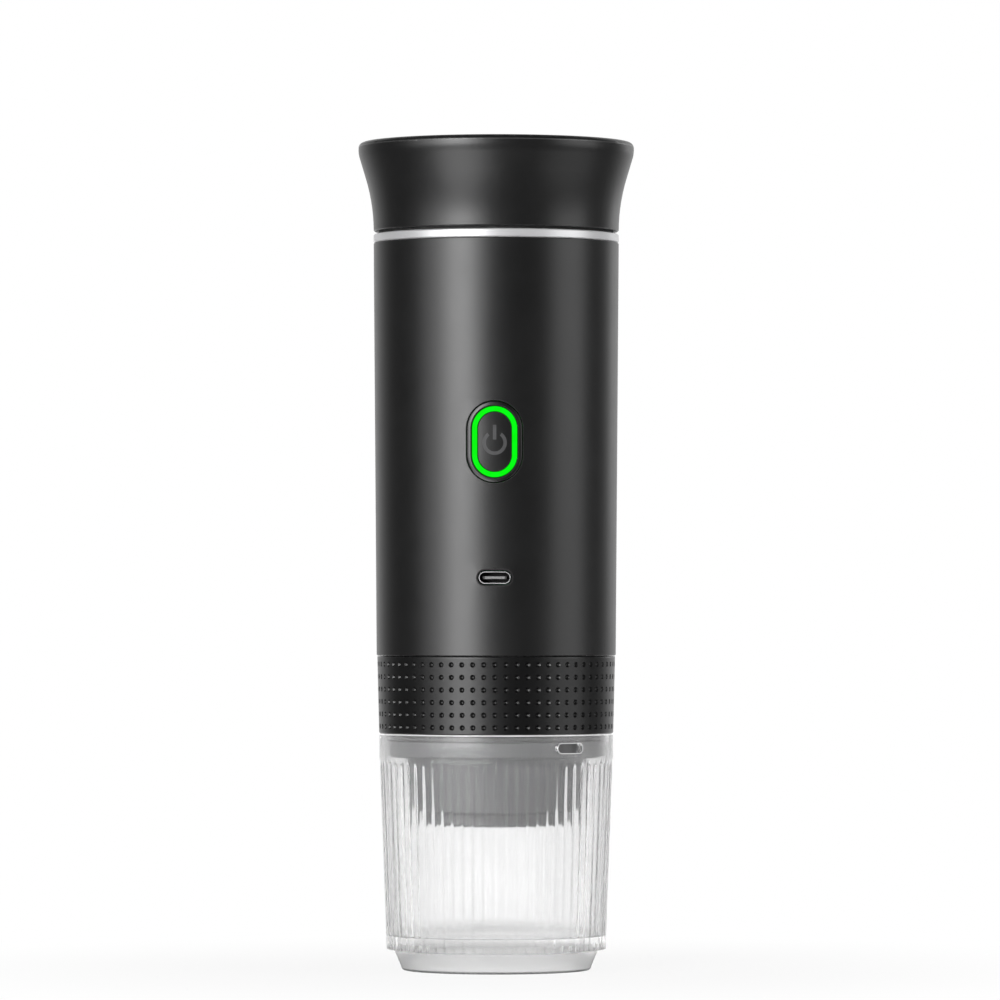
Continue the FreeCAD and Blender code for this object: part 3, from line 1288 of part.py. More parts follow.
def make_check_valves():
    """Three inlet flaps above the valve plate and one outlet flap below it."""
    valves = []
    for number in range(3):
        x, y = on_circle("valve_circle", 90 + 120 * number, "0", PUMP_Y)
        stem = rod("stem", "valve_stem", "valve_plate_height", x, y, VALVE_BASE)
        cap = rod("flap", "valve_cap", "valve_thickness", x, y, FLANGE_BASE)
        valves.append(joined("inlet_flap", [stem, cap]))
    stem = rod("stem", "valve_stem", "valve_plate_height", "0", PUMP_Y, VALVE_BASE)
    cap = rod("flap", "outlet_valve_cap", "valve_thickness", "0", PUMP_Y,
              f"{VALVE_BASE} - valve_thickness")
    valves.append(joined("outlet_flap", [stem, cap]))
    kept(group("valves", valves), "check_valves")


def make_pump_head():
    """The inlet and outlet chambers, the spigot into the distributor and the hose barb."""
    chamber = f"({VALVE_BASE} - chamber_depth)"
    body = turned_body("pump_head", [
        ("water_bore", f"{SOCKET_TOP} - spigot_length"),
        ("spigot_radius", f"{SOCKET_TOP} - spigot_length"),
        ("spigot_radius", FLOOR_TOP),
        ("pump_radius", FLOOR_TOP),
        ("pump_radius", VALVE_BASE),
        ("inlet_chamber_outer", VALVE_BASE),
        ("inlet_chamber_outer", chamber),
        ("inlet_chamber_inner", chamber),
        ("inlet_chamber_inner", VALVE_BASE),
        ("outlet_chamber", VALVE_BASE),
        ("outlet_chamber", chamber),
        ("water_bore", chamber),
    ], "0", PUMP_Y)
    drill_bolts(body)
    sketch = new_sketch(body, lift=FLOOR_TOP)
    for x, y in bolt_places():
        draw_circle(sketch, x, y, "screw_head + bolt_clearance")
    cut(body, sketch, "screw_head_height + head_recess", back=True)
    height = f"{FLOOR_TOP} + barb_height"
    start = "(inlet_chamber_outer + barb_root)"
    barb = new_sketch(body, "YZ_Plane", start)
    draw_circle(barb, "0", height, "barb_radius")
    pad(body, barb, f"pump_radius + barb_length - {start}")
    bore = new_sketch(body, "YZ_Plane", "pump_radius + barb_length")
    draw_circle(bore, "0", height, "water_bore")
    cut(body, bore, "pump_radius + barb_length - inlet_chamber_outer + barb_root / 2")


def make_pump_screws():
    """Long screws hold the pump and the gearbox to the motor's face."""
    body = new_body("pump_screws", "0", PUMP_Y)
    body.AllowCompound = True
    base = f"({FLOOR_TOP} + head_recess)"
    head = new_sketch(body, lift=base)
    shank = new_sketch(body, lift=f"{base} + screw_head_height")
    for x, y in bolt_places():
        draw_circle(head, x, y, "screw_head")
        draw_circle(shank, x, y, "screw_radius")
    pad(body, head, "screw_head_height")
    pad(body, shank, f"{MOTOR_BASE} - {base} - screw_head_height")


def make_inlet_hose():
    level = f"({FLOOR_TOP} + barb_height)"
    start = "(pump_radius + hose_gap)"
    top = f"({ROOF_BASE} - hose_end)"
    path_pipe(new_body("inlet_hose"), "XZ_Plane", f"0 - {PUMP_Y}",
              [(start, level), (HOSE_COLUMN, level), (HOSE_COLUMN, top)],
              "hose_bend", ("barb_radius", "barb_radius + hose_wall"),
              "YZ_Plane", start, (PUMP_Y, level))


def make_leads():
    """Two wires up to the heater, and two from the motor cap down behind the board."""
    behind = f"(0 - {BOARD_FRONT} + board_thickness + lead_radius)"
    body = new_body("heater_leads")
    body.AllowCompound = True
    low = f"({ROOF_BASE} - lead_drop)"
    sketch = new_sketch(body, lift=low)
    for side in ("", "0 - "):
        x = f"({side}(board_width / 2 - screw_inset - rail_width / 2 - 2 * lead_radius))"
        draw_circle(sketch, x, behind, "lead_radius")
    pad(body, sketch, f"{HEATER_BASE} - {low}")
    body = new_body("motor_leads")
    body.AllowCompound = True
    level = f"({MOTOR_TOP} + end_cap_height - cap_boss + lead_radius)"
    for x in ("(0 - lead_spread)", "lead_spread"):
        path_pipe(body, "YZ_Plane", x,
                  [(f"({PUMP_Y} - lead_reach)", level), (behind, level),
                   (behind, f"({level} - lead_end)")],
                  "lead_bend", ("lead_radius",), "XZ_Plane", f"(lead_reach - {PUMP_Y})",
                  (x, level))


# The brew group under the frame


def group_screw_places():
    circle = f"({SHOWER_RADIUS} + screw_head + screw_edge)"
    return [on_circle(circle, 30 + 60 * number) for number in range(6)]


def make_brew_socket():
    turned_body("brew_socket", [
        ("socket_radius", f"{BODY_BASE} + seam_gap"),
        (SPREAD_RADIUS, f"{BODY_BASE} + seam_gap"),
        (SPREAD_RADIUS, SOCKET_TOP),
        ("socket_radius", SOCKET_TOP),
    ])


def make_shower_head():
    """The distributor takes the water from the spigot and spreads it under its screen."""
    body = turned_body("shower_head", [
        ("0", f"{SHOWER_FACE} + shower_rise"),
        (CAVITY_RADIUS, f"{SHOWER_FACE} + shower_rise"),
        (CAVITY_RADIUS, SHOWER_FACE),
        (SHOWER_RADIUS, SHOWER_FACE),
        (SHOWER_RADIUS, f"{SOCKET_TOP} - shower_flange"),
        ("socket_radius - seat_clearance", f"{SOCKET_TOP} - shower_flange"),
        ("socket_radius - seat_clearance", SOCKET_TOP),
        ("0", SOCKET_TOP),
    ])
    sketch = new_sketch(body, lift=SOCKET_TOP)
    draw_circle(sketch, "0", PUMP_Y, "spigot_radius + spigot_clearance")
    cut(body, sketch, "spigot_length + spigot_gap")
    sketch = new_sketch(body, lift=SOCKET_TOP)
    draw_circle(sketch, "0", PUMP_Y, "water_bore")
    cut(body, sketch, "shower_depth - shower_rise / 2")
    sketch = new_sketch(body, lift=SOCKET_TOP)
    for x, y in group_screw_places():
        draw_circle(sketch, x, y, "screw_radius + bolt_clearance")
    cut(body, sketch, "shower_flange")


def make_group_screws():
    body = new_body("brew_group_screws")
    body.AllowCompound = True
    shank = new_sketch(body, lift=f"{SOCKET_TOP} - shower_flange")
    head = new_sketch(body, lift=f"{SOCKET_TOP} - shower_flange")
    for x, y in group_screw_places():
        draw_circle(shank, x, y, "screw_radius")
        draw_circle(head, x, y, "screw_head")
    pad(body, shank, "shower_flange + frame_floor - blind_wall - shaft_gap")
    pad(body, head, "screw_head_height", back=True)


def drill_rows(sketch):
    """One hole in the middle and rings of six, twelve and more round it."""
    draw_circle(sketch, "0", "0", "hole_radius")
    for ring in range(1, 5):
        for number in range(6 * ring):
            angle = 360 / (6 * ring) * number
            draw_circle(sketch, *on_circle(f"({ring} * {HOLE_STEP})", angle), "hole_radius")


def make_shower_screen():
    body = new_body("shower_screen")
    sketch = new_sketch(body, lift=f"{SHOWER_FACE} - screen_thickness")
    draw_circle(sketch, "0", "0", SCREEN_RADIUS)
    drill_rows(sketch)
    pad(body, sketch, "screen_thickness")


def make_brew_gasket():
    """It seals the basket's rim and holds the edge of the screen."""
    bore = "basket_radius - basket_wall"
    step = f"{SHOWER_FACE} - screen_thickness - screen_play"
    turned_body("brew_gasket", [
        (f"{bore} - gasket_lip", BASKET_TOP),
        (SHOWER_RADIUS, BASKET_TOP),
        (SHOWER_RADIUS, SHOWER_FACE),
        (bore, SHOWER_FACE),
        (bore, step),
        (f"{bore} - gasket_lip", step),
    ])


# The brew head and the cup


def make_grip_collar():
    bore = "collar_radius + grip_clearance"
    turned_body("grip_collar", [
        (bore, "cup_height"),
        ("grip_radius_foot - edge_chamfer", "cup_height"),
        ("grip_radius_foot", "cup_height + edge_chamfer"),
        ("grip_radius_top", f"{GRIP_TOP} - edge_chamfer"),
        ("grip_radius_top - edge_chamfer", GRIP_TOP),
        (bore, GRIP_TOP),
    ])


def make_brew_housing():
    """The wide collar plugs the cup, the neck goes up into the socket, the funnel ends in a spout."""
    seal = f"({CUP_BORE} - seal_clearance - 2 * seal_cord - grip_clearance)"
    seal_height = "(cup_height - seal_drop)"
    half_groove = "(seal_cord + seal_play)"
    chamber = "basket_radius + basket_clearance"
    neck_bore = f"{NECK_RADIUS} - neck_wall"
    turned_body("brew_housing", [
        ("spout_bore", f"{LIP_HEIGHT} + spout_inset"),
        ("spout_radius", f"{LIP_HEIGHT} + spout_inset"),
        ("spout_radius", f"{FUNNEL_FOOT} - funnel_thickness + funnel_step"),
        ("lip_radius - lip_wall", f"{FUNNEL_FOOT} + funnel_step"),
        ("lip_radius - lip_wall", LIP_HEIGHT),
        ("lip_radius - head_edge", LIP_HEIGHT),
        ("lip_radius", f"{LIP_HEIGHT} + head_edge"),
        ("lip_radius", STEP_HEIGHT),
        ("head_foot_radius - foot_edge", STEP_HEIGHT),
        ("head_foot_radius", f"{STEP_HEIGHT} + foot_edge"),
        ("head_radius", "cup_height - collar_height"),
        ("collar_radius - head_edge", "cup_height - collar_height"),
        ("collar_radius", "cup_height - collar_height + head_edge"),
        ("collar_radius", f"{seal_height} - {half_groove}"),
        (seal, f"{seal_height} - {half_groove}"),
        (seal, f"{seal_height} + {half_groove}"),
        ("collar_radius", f"{seal_height} + {half_groove}"),
        ("collar_radius", GRIP_TOP),
        (NECK_RADIUS, GRIP_TOP),
        (NECK_RADIUS, f"{BODY_BASE} + neck_height"),
        (neck_bore, f"{BODY_BASE} + neck_height"),
        (neck_bore, f"{BASKET_TOP} - basket_rim"),
        (chamber, f"{BASKET_TOP} - basket_rim"),
        (chamber, CHAMBER_FOOT),
        ("spout_bore", FUNNEL_FOOT),
    ])


def make_cup_seal():
    """The rubber ring in the collar's groove grips the cup."""
    ring = doc.addObject("Part::Torus", "cup_ring")
    ring.setExpression("Radius1", bound(f"{CUP_BORE} - seal_clearance - seal_cord"))
    ring.setExpression("Radius2", bound("seal_cord"))
    place(ring, "0", "0", "cup_height - seal_drop")
    kept(ring, "cup_seal")


def make_filter_basket():
    bottom = f"({BASKET_TOP} - basket_depth)"
    bore = "(basket_radius - basket_wall)"
    rounding = "(basket_rounding - basket_wall)"
    body = turned_body("filter_basket", [
        ("0", bottom),
        ("basket_radius - basket_rounding", bottom),
        ("basket_radius", f"{bottom} + basket_rounding", "basket_rounding", -1),
        ("basket_radius", f"{BASKET_TOP} - basket_rim"),
        (SHOWER_RADIUS, f"{BASKET_TOP} - basket_rim"),
        (SHOWER_RADIUS, BASKET_TOP),
        (bore, BASKET_TOP),
        (bore, f"{bottom} + basket_rounding"),
        ("basket_radius - basket_rounding", f"{bottom} + basket_wall", rounding, 1),
        ("0", f"{bottom} + basket_wall"),
    ])
    sketch = new_sketch(body, lift=bottom)
    drill_rows(sketch)
    cut(body, sketch, "basket_wall", back=True)


def make_cup():
    """A clear cup: smooth band, ribbed wall, ledge and foot."""
    inner_top = "rib_radius_top - cup_wall"
    inner_foot = "rib_radius_foot - cup_wall"
    band = "(cup_height - band_height)"
    body = turned_body("cup", [
        ("foot_radius - foot_ring", "0"),
        ("foot_radius - foot_rounding", "0"),
        ("foot_radius", "foot_rounding", "foot_rounding", -1),
        ("foot_radius_top", "ledge_height"),
        ("rib_radius_foot", "ledge_height"),
        ("rib_radius_top", f"{band} - band_slope"),
        ("cup_radius", band),
        ("cup_radius", "cup_height - edge_chamfer"),
        ("cup_radius - edge_chamfer", "cup_height"),
        (f"{CUP_BORE} + edge_chamfer", "cup_height"),
        (CUP_BORE, "cup_height - edge_chamfer"),
        (CUP_BORE, f"{band} - seat_depth"),
        (inner_top, f"{band} - seat_depth - seat_slope"),
        (inner_foot, "cup_floor + cup_rounding"),
        (f"{inner_foot} - cup_rounding", "cup_floor", "cup_rounding", 1),
        ("0", "cup_floor"),
        ("0", "cup_floor - cup_floor_thickness"),
        ("foot_radius - foot_ring", "cup_floor - cup_floor_thickness"),
    ])
    sketch = new_sketch(body, "XZ_Plane", turn=(Vector(0, 1, 0), "vent_angle"))
    draw_stadium(sketch, "0", "(cup_height - vent_drop)", "vent_width", "vent_opening")
    cut(body, sketch, BEYOND, back=True)
    rib_top = f"({band} - band_slope)"
    slope = f"((rib_radius_top - rib_radius_foot) / ({rib_top} - ledge_height))"
    sketch = new_sketch(body, "XZ_Plane")
    draw(sketch, [
        ("rib_radius_foot - rib_depth", "ledge_height"),
        ("rib_radius_foot + cut_margin", "ledge_height"),
        ("rib_radius_top + cut_margin", rib_top),
        ("rib_radius_top", rib_top),
        (f"rib_radius_top - rib_depth - groove_runout * {slope}", f"{rib_top} - groove_runout"),
    ])
    groove = cut(body, sketch)
    groove.Type = "Length"
    groove.setExpression("Length", bound("rib_groove"))
    repeat(body, groove, "rib_count")


def make_all():
    make_lid_shell()
    make_lid_liner()
    make_lid_gasket()
    make_trim_ring()
    make_outer_sleeve()
    make_tank_liner()
    make_tank_outlet()
    make_outlet_strainer()
    make_heater_plate()
    make_heater_cushion()
    make_temperature_sensor()
    make_inner_frame()
    make_battery_tray("battery_tray_lower", FLOOR_TOP, f"{FLOOR_TOP} + tray_base")
    make_battery_tray("battery_tray_upper", f"{ROOF_BASE} - tray_height",
                      f"{ROOF_BASE} - tray_height")
    for number in range(3):
        make_battery_cell(number)
    make_cell_links()
    make_control_board()
    make_board_screws()
    make_tact_switch()
    make_ring_leds()
    make_button_bezel()
    make_light_ring()
    make_power_button()
    make_power_symbol()
    make_usb_socket_shell()
    make_usb_socket_tongue()
    make_motor_can()
    make_motor_end_cap()
    make_motor_magnets()
    make_armature()
    make_motor_shaft()
    make_gears()
    make_planet_carrier()
    make_drive_cam()
    make_wobble_plate()
    make_pump_housing()
    make_pump_diaphragm()
    make_valve_plate()
    make_check_valves()
    make_pump_head()
    make_pump_screws()
    make_inlet_hose()
    make_leads()
    make_brew_socket()
    make_shower_head()
    make_group_screws()
    make_shower_screen()
    make_brew_gasket()
    make_grip_collar()
    make_brew_housing()
    make_cup_seal()
    make_filter_basket()
    make_cup()


def write_parts():
    """Stops on any failed feature or shape, then writes one file for each sub-part."""
    doc.recompute()
    for thing in doc.Objects:
        if "Invalid" in thing.State or "Error" in thing.State:
            raise RuntimeError(f"{thing.Label} failed: {thing.State}")
    os.makedirs("parts", exist_ok=True)
    for piece in sub_parts:
        shape = piece.Shape
        if shape.isNull() or not shape.isValid() or not shape.Solids:
            raise RuntimeError(f"{piece.Label} has no valid shape")
        shape.exportStep(os.path.join("parts", piece.Label + ".step"))
        low, high = shape.BoundBox.ZMin, shape.BoundBox.ZMax
        print(f"{piece.Label}: {len(shape.Solids)} solid(s), z {low:.2f} to {high:.2f}")


make_all()
write_parts()
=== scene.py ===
import json
import math

import bmesh
import bpy
from mathutils import Matrix, Vector

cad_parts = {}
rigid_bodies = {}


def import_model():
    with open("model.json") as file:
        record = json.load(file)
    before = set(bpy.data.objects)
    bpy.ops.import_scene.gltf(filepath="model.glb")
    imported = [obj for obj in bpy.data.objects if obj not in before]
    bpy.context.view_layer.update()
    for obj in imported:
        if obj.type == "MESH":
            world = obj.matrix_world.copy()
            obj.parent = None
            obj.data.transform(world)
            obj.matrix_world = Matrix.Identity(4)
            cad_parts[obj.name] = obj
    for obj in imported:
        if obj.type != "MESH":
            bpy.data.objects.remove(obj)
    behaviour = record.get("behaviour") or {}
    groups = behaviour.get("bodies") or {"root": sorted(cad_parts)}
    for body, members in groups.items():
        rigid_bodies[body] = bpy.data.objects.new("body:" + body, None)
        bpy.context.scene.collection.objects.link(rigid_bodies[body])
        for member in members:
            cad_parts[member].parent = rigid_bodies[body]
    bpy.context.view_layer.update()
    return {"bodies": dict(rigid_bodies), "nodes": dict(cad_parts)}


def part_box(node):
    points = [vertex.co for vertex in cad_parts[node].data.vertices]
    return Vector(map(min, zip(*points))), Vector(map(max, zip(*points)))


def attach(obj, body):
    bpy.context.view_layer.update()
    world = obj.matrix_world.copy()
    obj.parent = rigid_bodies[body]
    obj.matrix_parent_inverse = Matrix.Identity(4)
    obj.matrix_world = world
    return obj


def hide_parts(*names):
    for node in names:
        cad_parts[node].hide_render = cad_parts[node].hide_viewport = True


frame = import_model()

node_objects = frame["nodes"]

# Lengths are in metres, up is +Z and the front faces -Y.
MM = 0.001

# The button and its two rings, let into the front.
BUTTON_HEIGHT = 152.4 * MM
BUTTON_HALF_LINE = 3.7 * MM
BUTTON_HOLE = 8.15 * MM
LIT_RING_REACH = 5.7 * MM
PANEL_RADIUS = 35.16 * MM
PANEL_BACK = 31.2 * MM

# The charging socket.
PORT_HEIGHT = 113.6 * MM
PORT_HALF_LINE = 2.795 * MM
PORT_HOLE = 2.4 * MM

# The cup's vent slot.
VENT_HEIGHT = 64.7 * MM
VENT_HALF_LINE = 3.2 * MM
VENT_RADIUS = 1.35 * MM
VENT_TURN = math.radians(40)

# The painted shade round the front openings is laid only where the skin is in front of this.
FRONT_SKIN = -30 * MM

# Heights at which the coats wear or are polished, and the height of the painted highlight line
# under the lid's top edge.
LID_HIGHLIGHT_HEIGHT = 238.75 * MM
LID_AND_SLEEVE_EDGES = [height * MM for height in (91.2, 210.8, 214.3, 239.6)]
GRIP_EDGES = [height * MM for height in (68.7, 90.8)]
TRIM_EDGES = [height * MM for height in (210.95, 213.3)]

# The studio: how bright its front looks in a mirror, and its even fill.
FRONT_LEVEL = 0.16
FILL_LEVEL = 0.35


class Wire:
    """One output of a node; a sum written on it adds the Math nodes for that sum."""

    def __init__(self, tree, socket):
        self.tree, self.socket = tree, socket

    def other(self, output):
        """Another output of the same node."""
        return Wire(self.tree, self.socket.node.outputs[output])

    def math(self, operation, *terms, clamp=False):
        settings = {"operation": operation, "use_clamp": clamp}
        return self.tree.add("ShaderNodeMath", settings, dict(enumerate(terms)))

    def __add__(self, other): return self.math("ADD", self, other)
    def __radd__(self, other): return self.math("ADD", other, self)
    def __sub__(self, other): return self.math("SUBTRACT", self, other)
    def __rsub__(self, other): return self.math("SUBTRACT", other, self)
    def __mul__(self, other): return self.math("MULTIPLY", self, other)
    def __rmul__(self, other): return self.math("MULTIPLY", other, self)
    def __truediv__(self, other): return self.math("DIVIDE", self, other)
    def __rtruediv__(self, other): return self.math("DIVIDE", other, self)
    def __pow__(self, other): return self.math("POWER", self, other)
    def __abs__(self): return self.math("ABSOLUTE", self)

    def least(self, other): return self.math("MINIMUM", self, other)
    def most(self, other): return self.math("MAXIMUM", self, other)
    def above(self, limit): return self.math("GREATER_THAN", self, limit)
    def below(self, limit): return self.math("LESS_THAN", self, limit)
    def floor(self): return self.math("FLOOR", self)
    def part(self): return self.math("FRACT", self)
    def root(self): return self.math("SQRT", self)
    def sine(self): return self.math("SINE", self)
    def cosine(self): return self.math("COSINE", self)
    def angle(self, across): return self.math("ARCTAN2", self, across)
    def clip(self): return self.math("ADD", self, 0.0, clamp=True)

    def ramp(self, low, high):
        """0 below low, 1 above high, with a soft start and end."""
        return self.tree.add("ShaderNodeMapRange", {"interpolation_type": "SMOOTHSTEP"},
                             {"Value": self, "From Min": low, "From Max": high})


class Tree:
    """A node tree under construction."""

    def __init__(self, nodes_tree):
        self.nodes_tree = nodes_tree

    def add(self, kind, settings=None, sockets=None, output=0):
        """Adds a node: its settings first, then the values or links of its sockets."""
        node = self.nodes_tree.nodes.new(kind)
        for name, value in (settings or {}).items():
            setattr(node, name, value)
        for key, value in (sockets or {}).items():
            if isinstance(value, Wire):
                self.nodes_tree.links.new(value.socket, node.inputs[key])
            else:
                node.inputs[key].default_value = value
        return Wire(self, node.outputs[output]) if node.outputs else None

    def split(self, vector):
        """The three parts of a vector."""
        first = self.add("ShaderNodeSeparateXYZ", None, {0: vector})
        return [first.other(place) for place in range(3)]

    def join(self, x, y, z):
        return self.add("ShaderNodeCombineXYZ", None, {0: x, 1: y, 2: z})

    def blend(self, share, first, second):
        """One colour turning into another."""
        return self.add("ShaderNodeMix", {"data_type": "RGBA"},
                        {0: share, 6: first, 7: second}, output=2)


def distance(x, y):
    """Distance from the middle of a flat view."""
    return (x * x + y * y).root()


def tone(shade):
    """A colour with its full alpha, from one grey or three parts."""
    parts = (shade,) * 3 if isinstance(shade, (int, float)) else tuple(shade)
    return parts + (1.0,)


def scaled(shade, factor):
    """A lighter or darker version of a colour."""
    return [min(1.0, part * factor) for part in shade]


class Finish(Tree):
    """The finish of one material."""

    def __init__(self, name):
        self.material = bpy.data.materials.new(name)
        self.material.use_nodes = True
        super().__init__(self.material.node_tree)
        self.nodes_tree.nodes.clear()

    def place(self):
        return self.add("ShaderNodeTexCoord", output="Object")

    def parts(self):
        """The place on the object: to the right, to the back and up."""
        return self.split(self.place())

    def grain(self, size, vector=None, detail=2.0, roughness=0.5):
        """Soft random marks about as large as size; values centre on 0.5."""
        return self.add("ShaderNodeTexNoise", None,
                        {"Vector": vector or self.place(), "Scale": 1 / size,
                         "Detail": detail, "Roughness": roughness})

    def turned_marks(self, size, detail):
        """Fine marks that run round the middle axis, as a lathe leaves them."""
        x, y, height = self.parts()
        along = 0.02 * MM * y.angle(x)
        return self.grain(size, self.join(distance(x, y), height, along), detail)

    def mottle(self, marks, first, second, low=0.3, high=0.7):
        """Two colours that mix as the marks do."""
        return self.blend(marks.ramp(low, high), tone(first), tone(second))

    def bump(self, height, depth):
        """A normal that shows the height, whose full range is depth."""
        return self.add("ShaderNodeBump", None, {"Distance": depth, "Height": height})

    def coat(self, shader):
        """Sends the shader to the surface and hands back the material."""
        self.add("ShaderNodeOutputMaterial", None, {"Surface": shader})
        return self.material

    def surface(self, **sockets):
        """A material of the main shader; an underscore in a name stands for a space."""
        return self.coat(self.add(
            "ShaderNodeBsdfPrincipled", None,
            {name.replace("_", " "): value for name, value in sockets.items()}))


def from_line(along, across, half_line):
    """Distance from a straight line that runs half_line to each side of the middle."""
    return distance((abs(along) - half_line).most(0.0), across)


def from_button(x, z):
    """Distance from the upright line down the middle of the long round button."""
    return from_line(z - BUTTON_HEIGHT, x, BUTTON_HALF_LINE)


def from_port(x, z):
    """Distance from the level line along the middle of the charging socket."""
    return from_line(x, z - PORT_HEIGHT, PORT_HALF_LINE)


def stripe(value, middle, half_width):
    """1 where value is at the middle, falling evenly to 0 at half_width from it."""
    return (1 - abs(value - middle) / half_width).clip()


def worn_lines(height, places, half_width, breaks):
    """Thin worn lines at the given heights, broken up by breaks."""
    mask = stripe(height, places[0], half_width)
    for place in places[1:]:
        mask = mask.most(stripe(height, place, half_width))
    return mask * breaks.ramp(0.35, 0.65)


def satin_coat(name, shade, worn_and_highlight_shade, roughness, grain, depth, shine, edges):
    """A sprayed satin coat: fine grain, slight clouds, worn edges, a painted highlight line under
    the lid's top edge and painted shade in the gaps of the front openings.
    """
    finish = Finish(name)
    x, y, height = finish.parts()
    cloud = finish.grain(9 * MM, detail=3.0)
    fine = finish.grain(grain, detail=1.5)
    worn = worn_lines(height, edges, 0.28 * MM, finish.grain(1.6 * MM))
    # Painted highlight: a thin lighter, smoother line just under the lid's top edge.
    lip_highlight = stripe(height, LID_HIGHLIGHT_HEIGHT, 0.24 * MM)
    skin = from_button(x, height).ramp(BUTTON_HOLE, BUTTON_HOLE + 0.2 * MM).least(
        from_port(x, height).ramp(PORT_HOLE, PORT_HOLE + 0.2 * MM))
    # Painted shade: the gaps round the button and the socket are coloured near black and made
    # rougher.
    opening_shade = (1 - skin) * y.below(FRONT_SKIN)
    colour = finish.mottle(cloud, scaled(shade, 0.86), scaled(shade, 1.14))
    colour = finish.blend((worn * 0.55).most(lip_highlight), colour, tone(worn_and_highlight_shade))
    colour = finish.blend(opening_shade, colour, tone(0.001))
    rough = roughness + 0.05 * (cloud - 0.5) + 0.08 * (fine - 0.5) - 0.1 * worn.most(lip_highlight)
    return finish.surface(
        Base_Color=colour, Roughness=rough + 0.5 * opening_shade, Specular_IOR_Level=shine,
        Normal=finish.bump(fine, depth))


def moulded(name, shade, roughness, grain=0.35 * MM, depth=0.012 * MM, shine=0.5):
    """Moulded plastic: faint flow marks in the colour, fine grain on the skin."""
    finish = Finish(name)
    flow = finish.grain(6 * MM, detail=3.0, roughness=0.6)
    fine = finish.grain(grain)
    return finish.surface(
        Base_Color=finish.mottle(flow, scaled(shade, 0.88), scaled(shade, 1.1)),
        Roughness=roughness + 0.12 * (flow - 0.5) + 0.08 * (fine - 0.5),
        Specular_IOR_Level=shine, Normal=finish.bump(fine, depth))


def rubber(name, shade, roughness=0.75):
    """Rubber: dull, dusty in places, with a pebbled skin."""
    finish = Finish(name)
    dust = finish.grain(4 * MM, detail=4.0, roughness=0.65)
    pebble = finish.grain(0.25 * MM, detail=1.0)
    dusty = [part * 0.8 + 0.035 for part in shade]
    return finish.surface(
        Base_Color=finish.mottle(dust, shade, dusty, 0.45, 0.75),
        Roughness=roughness + 0.15 * (dust - 0.5),
        Specular_IOR_Level=0.35, Normal=finish.bump(pebble, 0.02 * MM))


def turned_metal(name, shade, roughness):
    """Metal turned on a lathe: fine marks that run round the axis, slightly clouded."""
    finish = Finish(name)
    marks = finish.turned_marks(0.12 * MM, detail=3.0)
    cloud = finish.grain(5 * MM, detail=3.0)
    return finish.surface(
        Base_Color=finish.mottle(marks, scaled(shade, 0.9), scaled(shade, 1.06)), Metallic=1.0,
        Roughness=roughness + 0.14 * (marks - 0.5) + 0.1 * (cloud - 0.5),
        Normal=finish.bump(marks, 0.004 * MM))


def sheet_metal(name, shade, roughness, stain=None):
    """Plated or rolled metal: straight rolling marks, clouding and a few stains."""
    finish = Finish(name)
    x, y, z = finish.parts()
    marks = finish.grain(0.1 * MM, finish.join(x * 0.04, y, z), detail=3.0)
    cloud = finish.grain(3 * MM, detail=4.0, roughness=0.6)
    return finish.surface(
        Base_Color=finish.mottle(cloud, shade, stain or scaled(shade, 0.78), 0.35, 0.75),
        Metallic=1.0, Roughness=roughness + 0.12 * (marks - 0.5) + 0.2 * (cloud - 0.5),
        Normal=finish.bump(marks, 0.003 * MM))


def trim_steel():
    """The bright ring under the lid: turned steel, satin, polished along its edges."""
    finish = Finish("trim_steel")
    height = finish.parts()[2]
    marks = finish.turned_marks(0.09 * MM, detail=2.0)
    cloud = finish.grain(7 * MM)
    edge = worn_lines(height, TRIM_EDGES, 0.35 * MM, cloud + 0.2)
    return finish.surface(
        Base_Color=finish.mottle(marks, (0.56, 0.56, 0.57), (0.64, 0.64, 0.65), 0.25, 0.75),
        Metallic=0.25,
        Roughness=0.34 + 0.1 * (marks - 0.5) + 0.06 * (cloud - 0.5) - 0.1 * edge,
        Normal=finish.bump(marks, 0.003 * MM))


def button_plastic():
    """Satin plastic of the button and its frame, with painted shade (near black, dull) in the
    grooves beside the lit ring.
    """
    finish = Finish("button_plastic")
    x, y, z = finish.parts()
    flow = finish.grain(6 * MM, detail=3.0)
    fine = finish.grain(0.2 * MM)
    reach = from_button(x, z)
    # Painted shade: the grooves next to the lit ring are coloured near black.
    groove_shade = reach.ramp(4.6 * MM, 4.75 * MM) * (1 - reach.ramp(6.85 * MM, 7.0 * MM))
    colour = finish.mottle(flow, (0.0034, 0.0034, 0.0036), (0.0044, 0.0044, 0.0046))
    return finish.surface(
        Base_Color=finish.blend(groove_shade, colour, tone(0.001)),
        Roughness=0.32 + 0.06 * (flow - 0.5) + 0.06 * (fine - 0.5) + 0.6 * groove_shade,
        Specular_IOR_Level=0.36, Normal=finish.bump(fine, 0.003 * MM))


def lit_green():
    """The lit ring: an even green diffuser that falls dark at its two edges."""
    finish = Finish("lit_green")
    x, y, z = finish.parts()
    cloud = finish.grain(2.4 * MM, detail=1.0)
    fine = finish.grain(0.3 * MM)
    edge = abs(from_button(x, z) - LIT_RING_REACH).ramp(0.62 * MM, 0.84 * MM)
    glow = finish.mottle(cloud, (0.0, 0.9, 0.003), (0.0, 1.0, 0.008))
    return finish.surface(
        Base_Color=finish.blend(fine, tone((0.0, 0.03, 0.0)), tone((0.0, 0.05, 0.0))),
        Roughness=0.6 + 0.1 * fine, Specular_IOR_Level=0.02,
        Emission_Color=finish.blend(edge, glow, tone((0.0, 0.015, 0.0))),
        Emission_Strength=1.0, Normal=finish.bump(fine, 0.004 * MM))


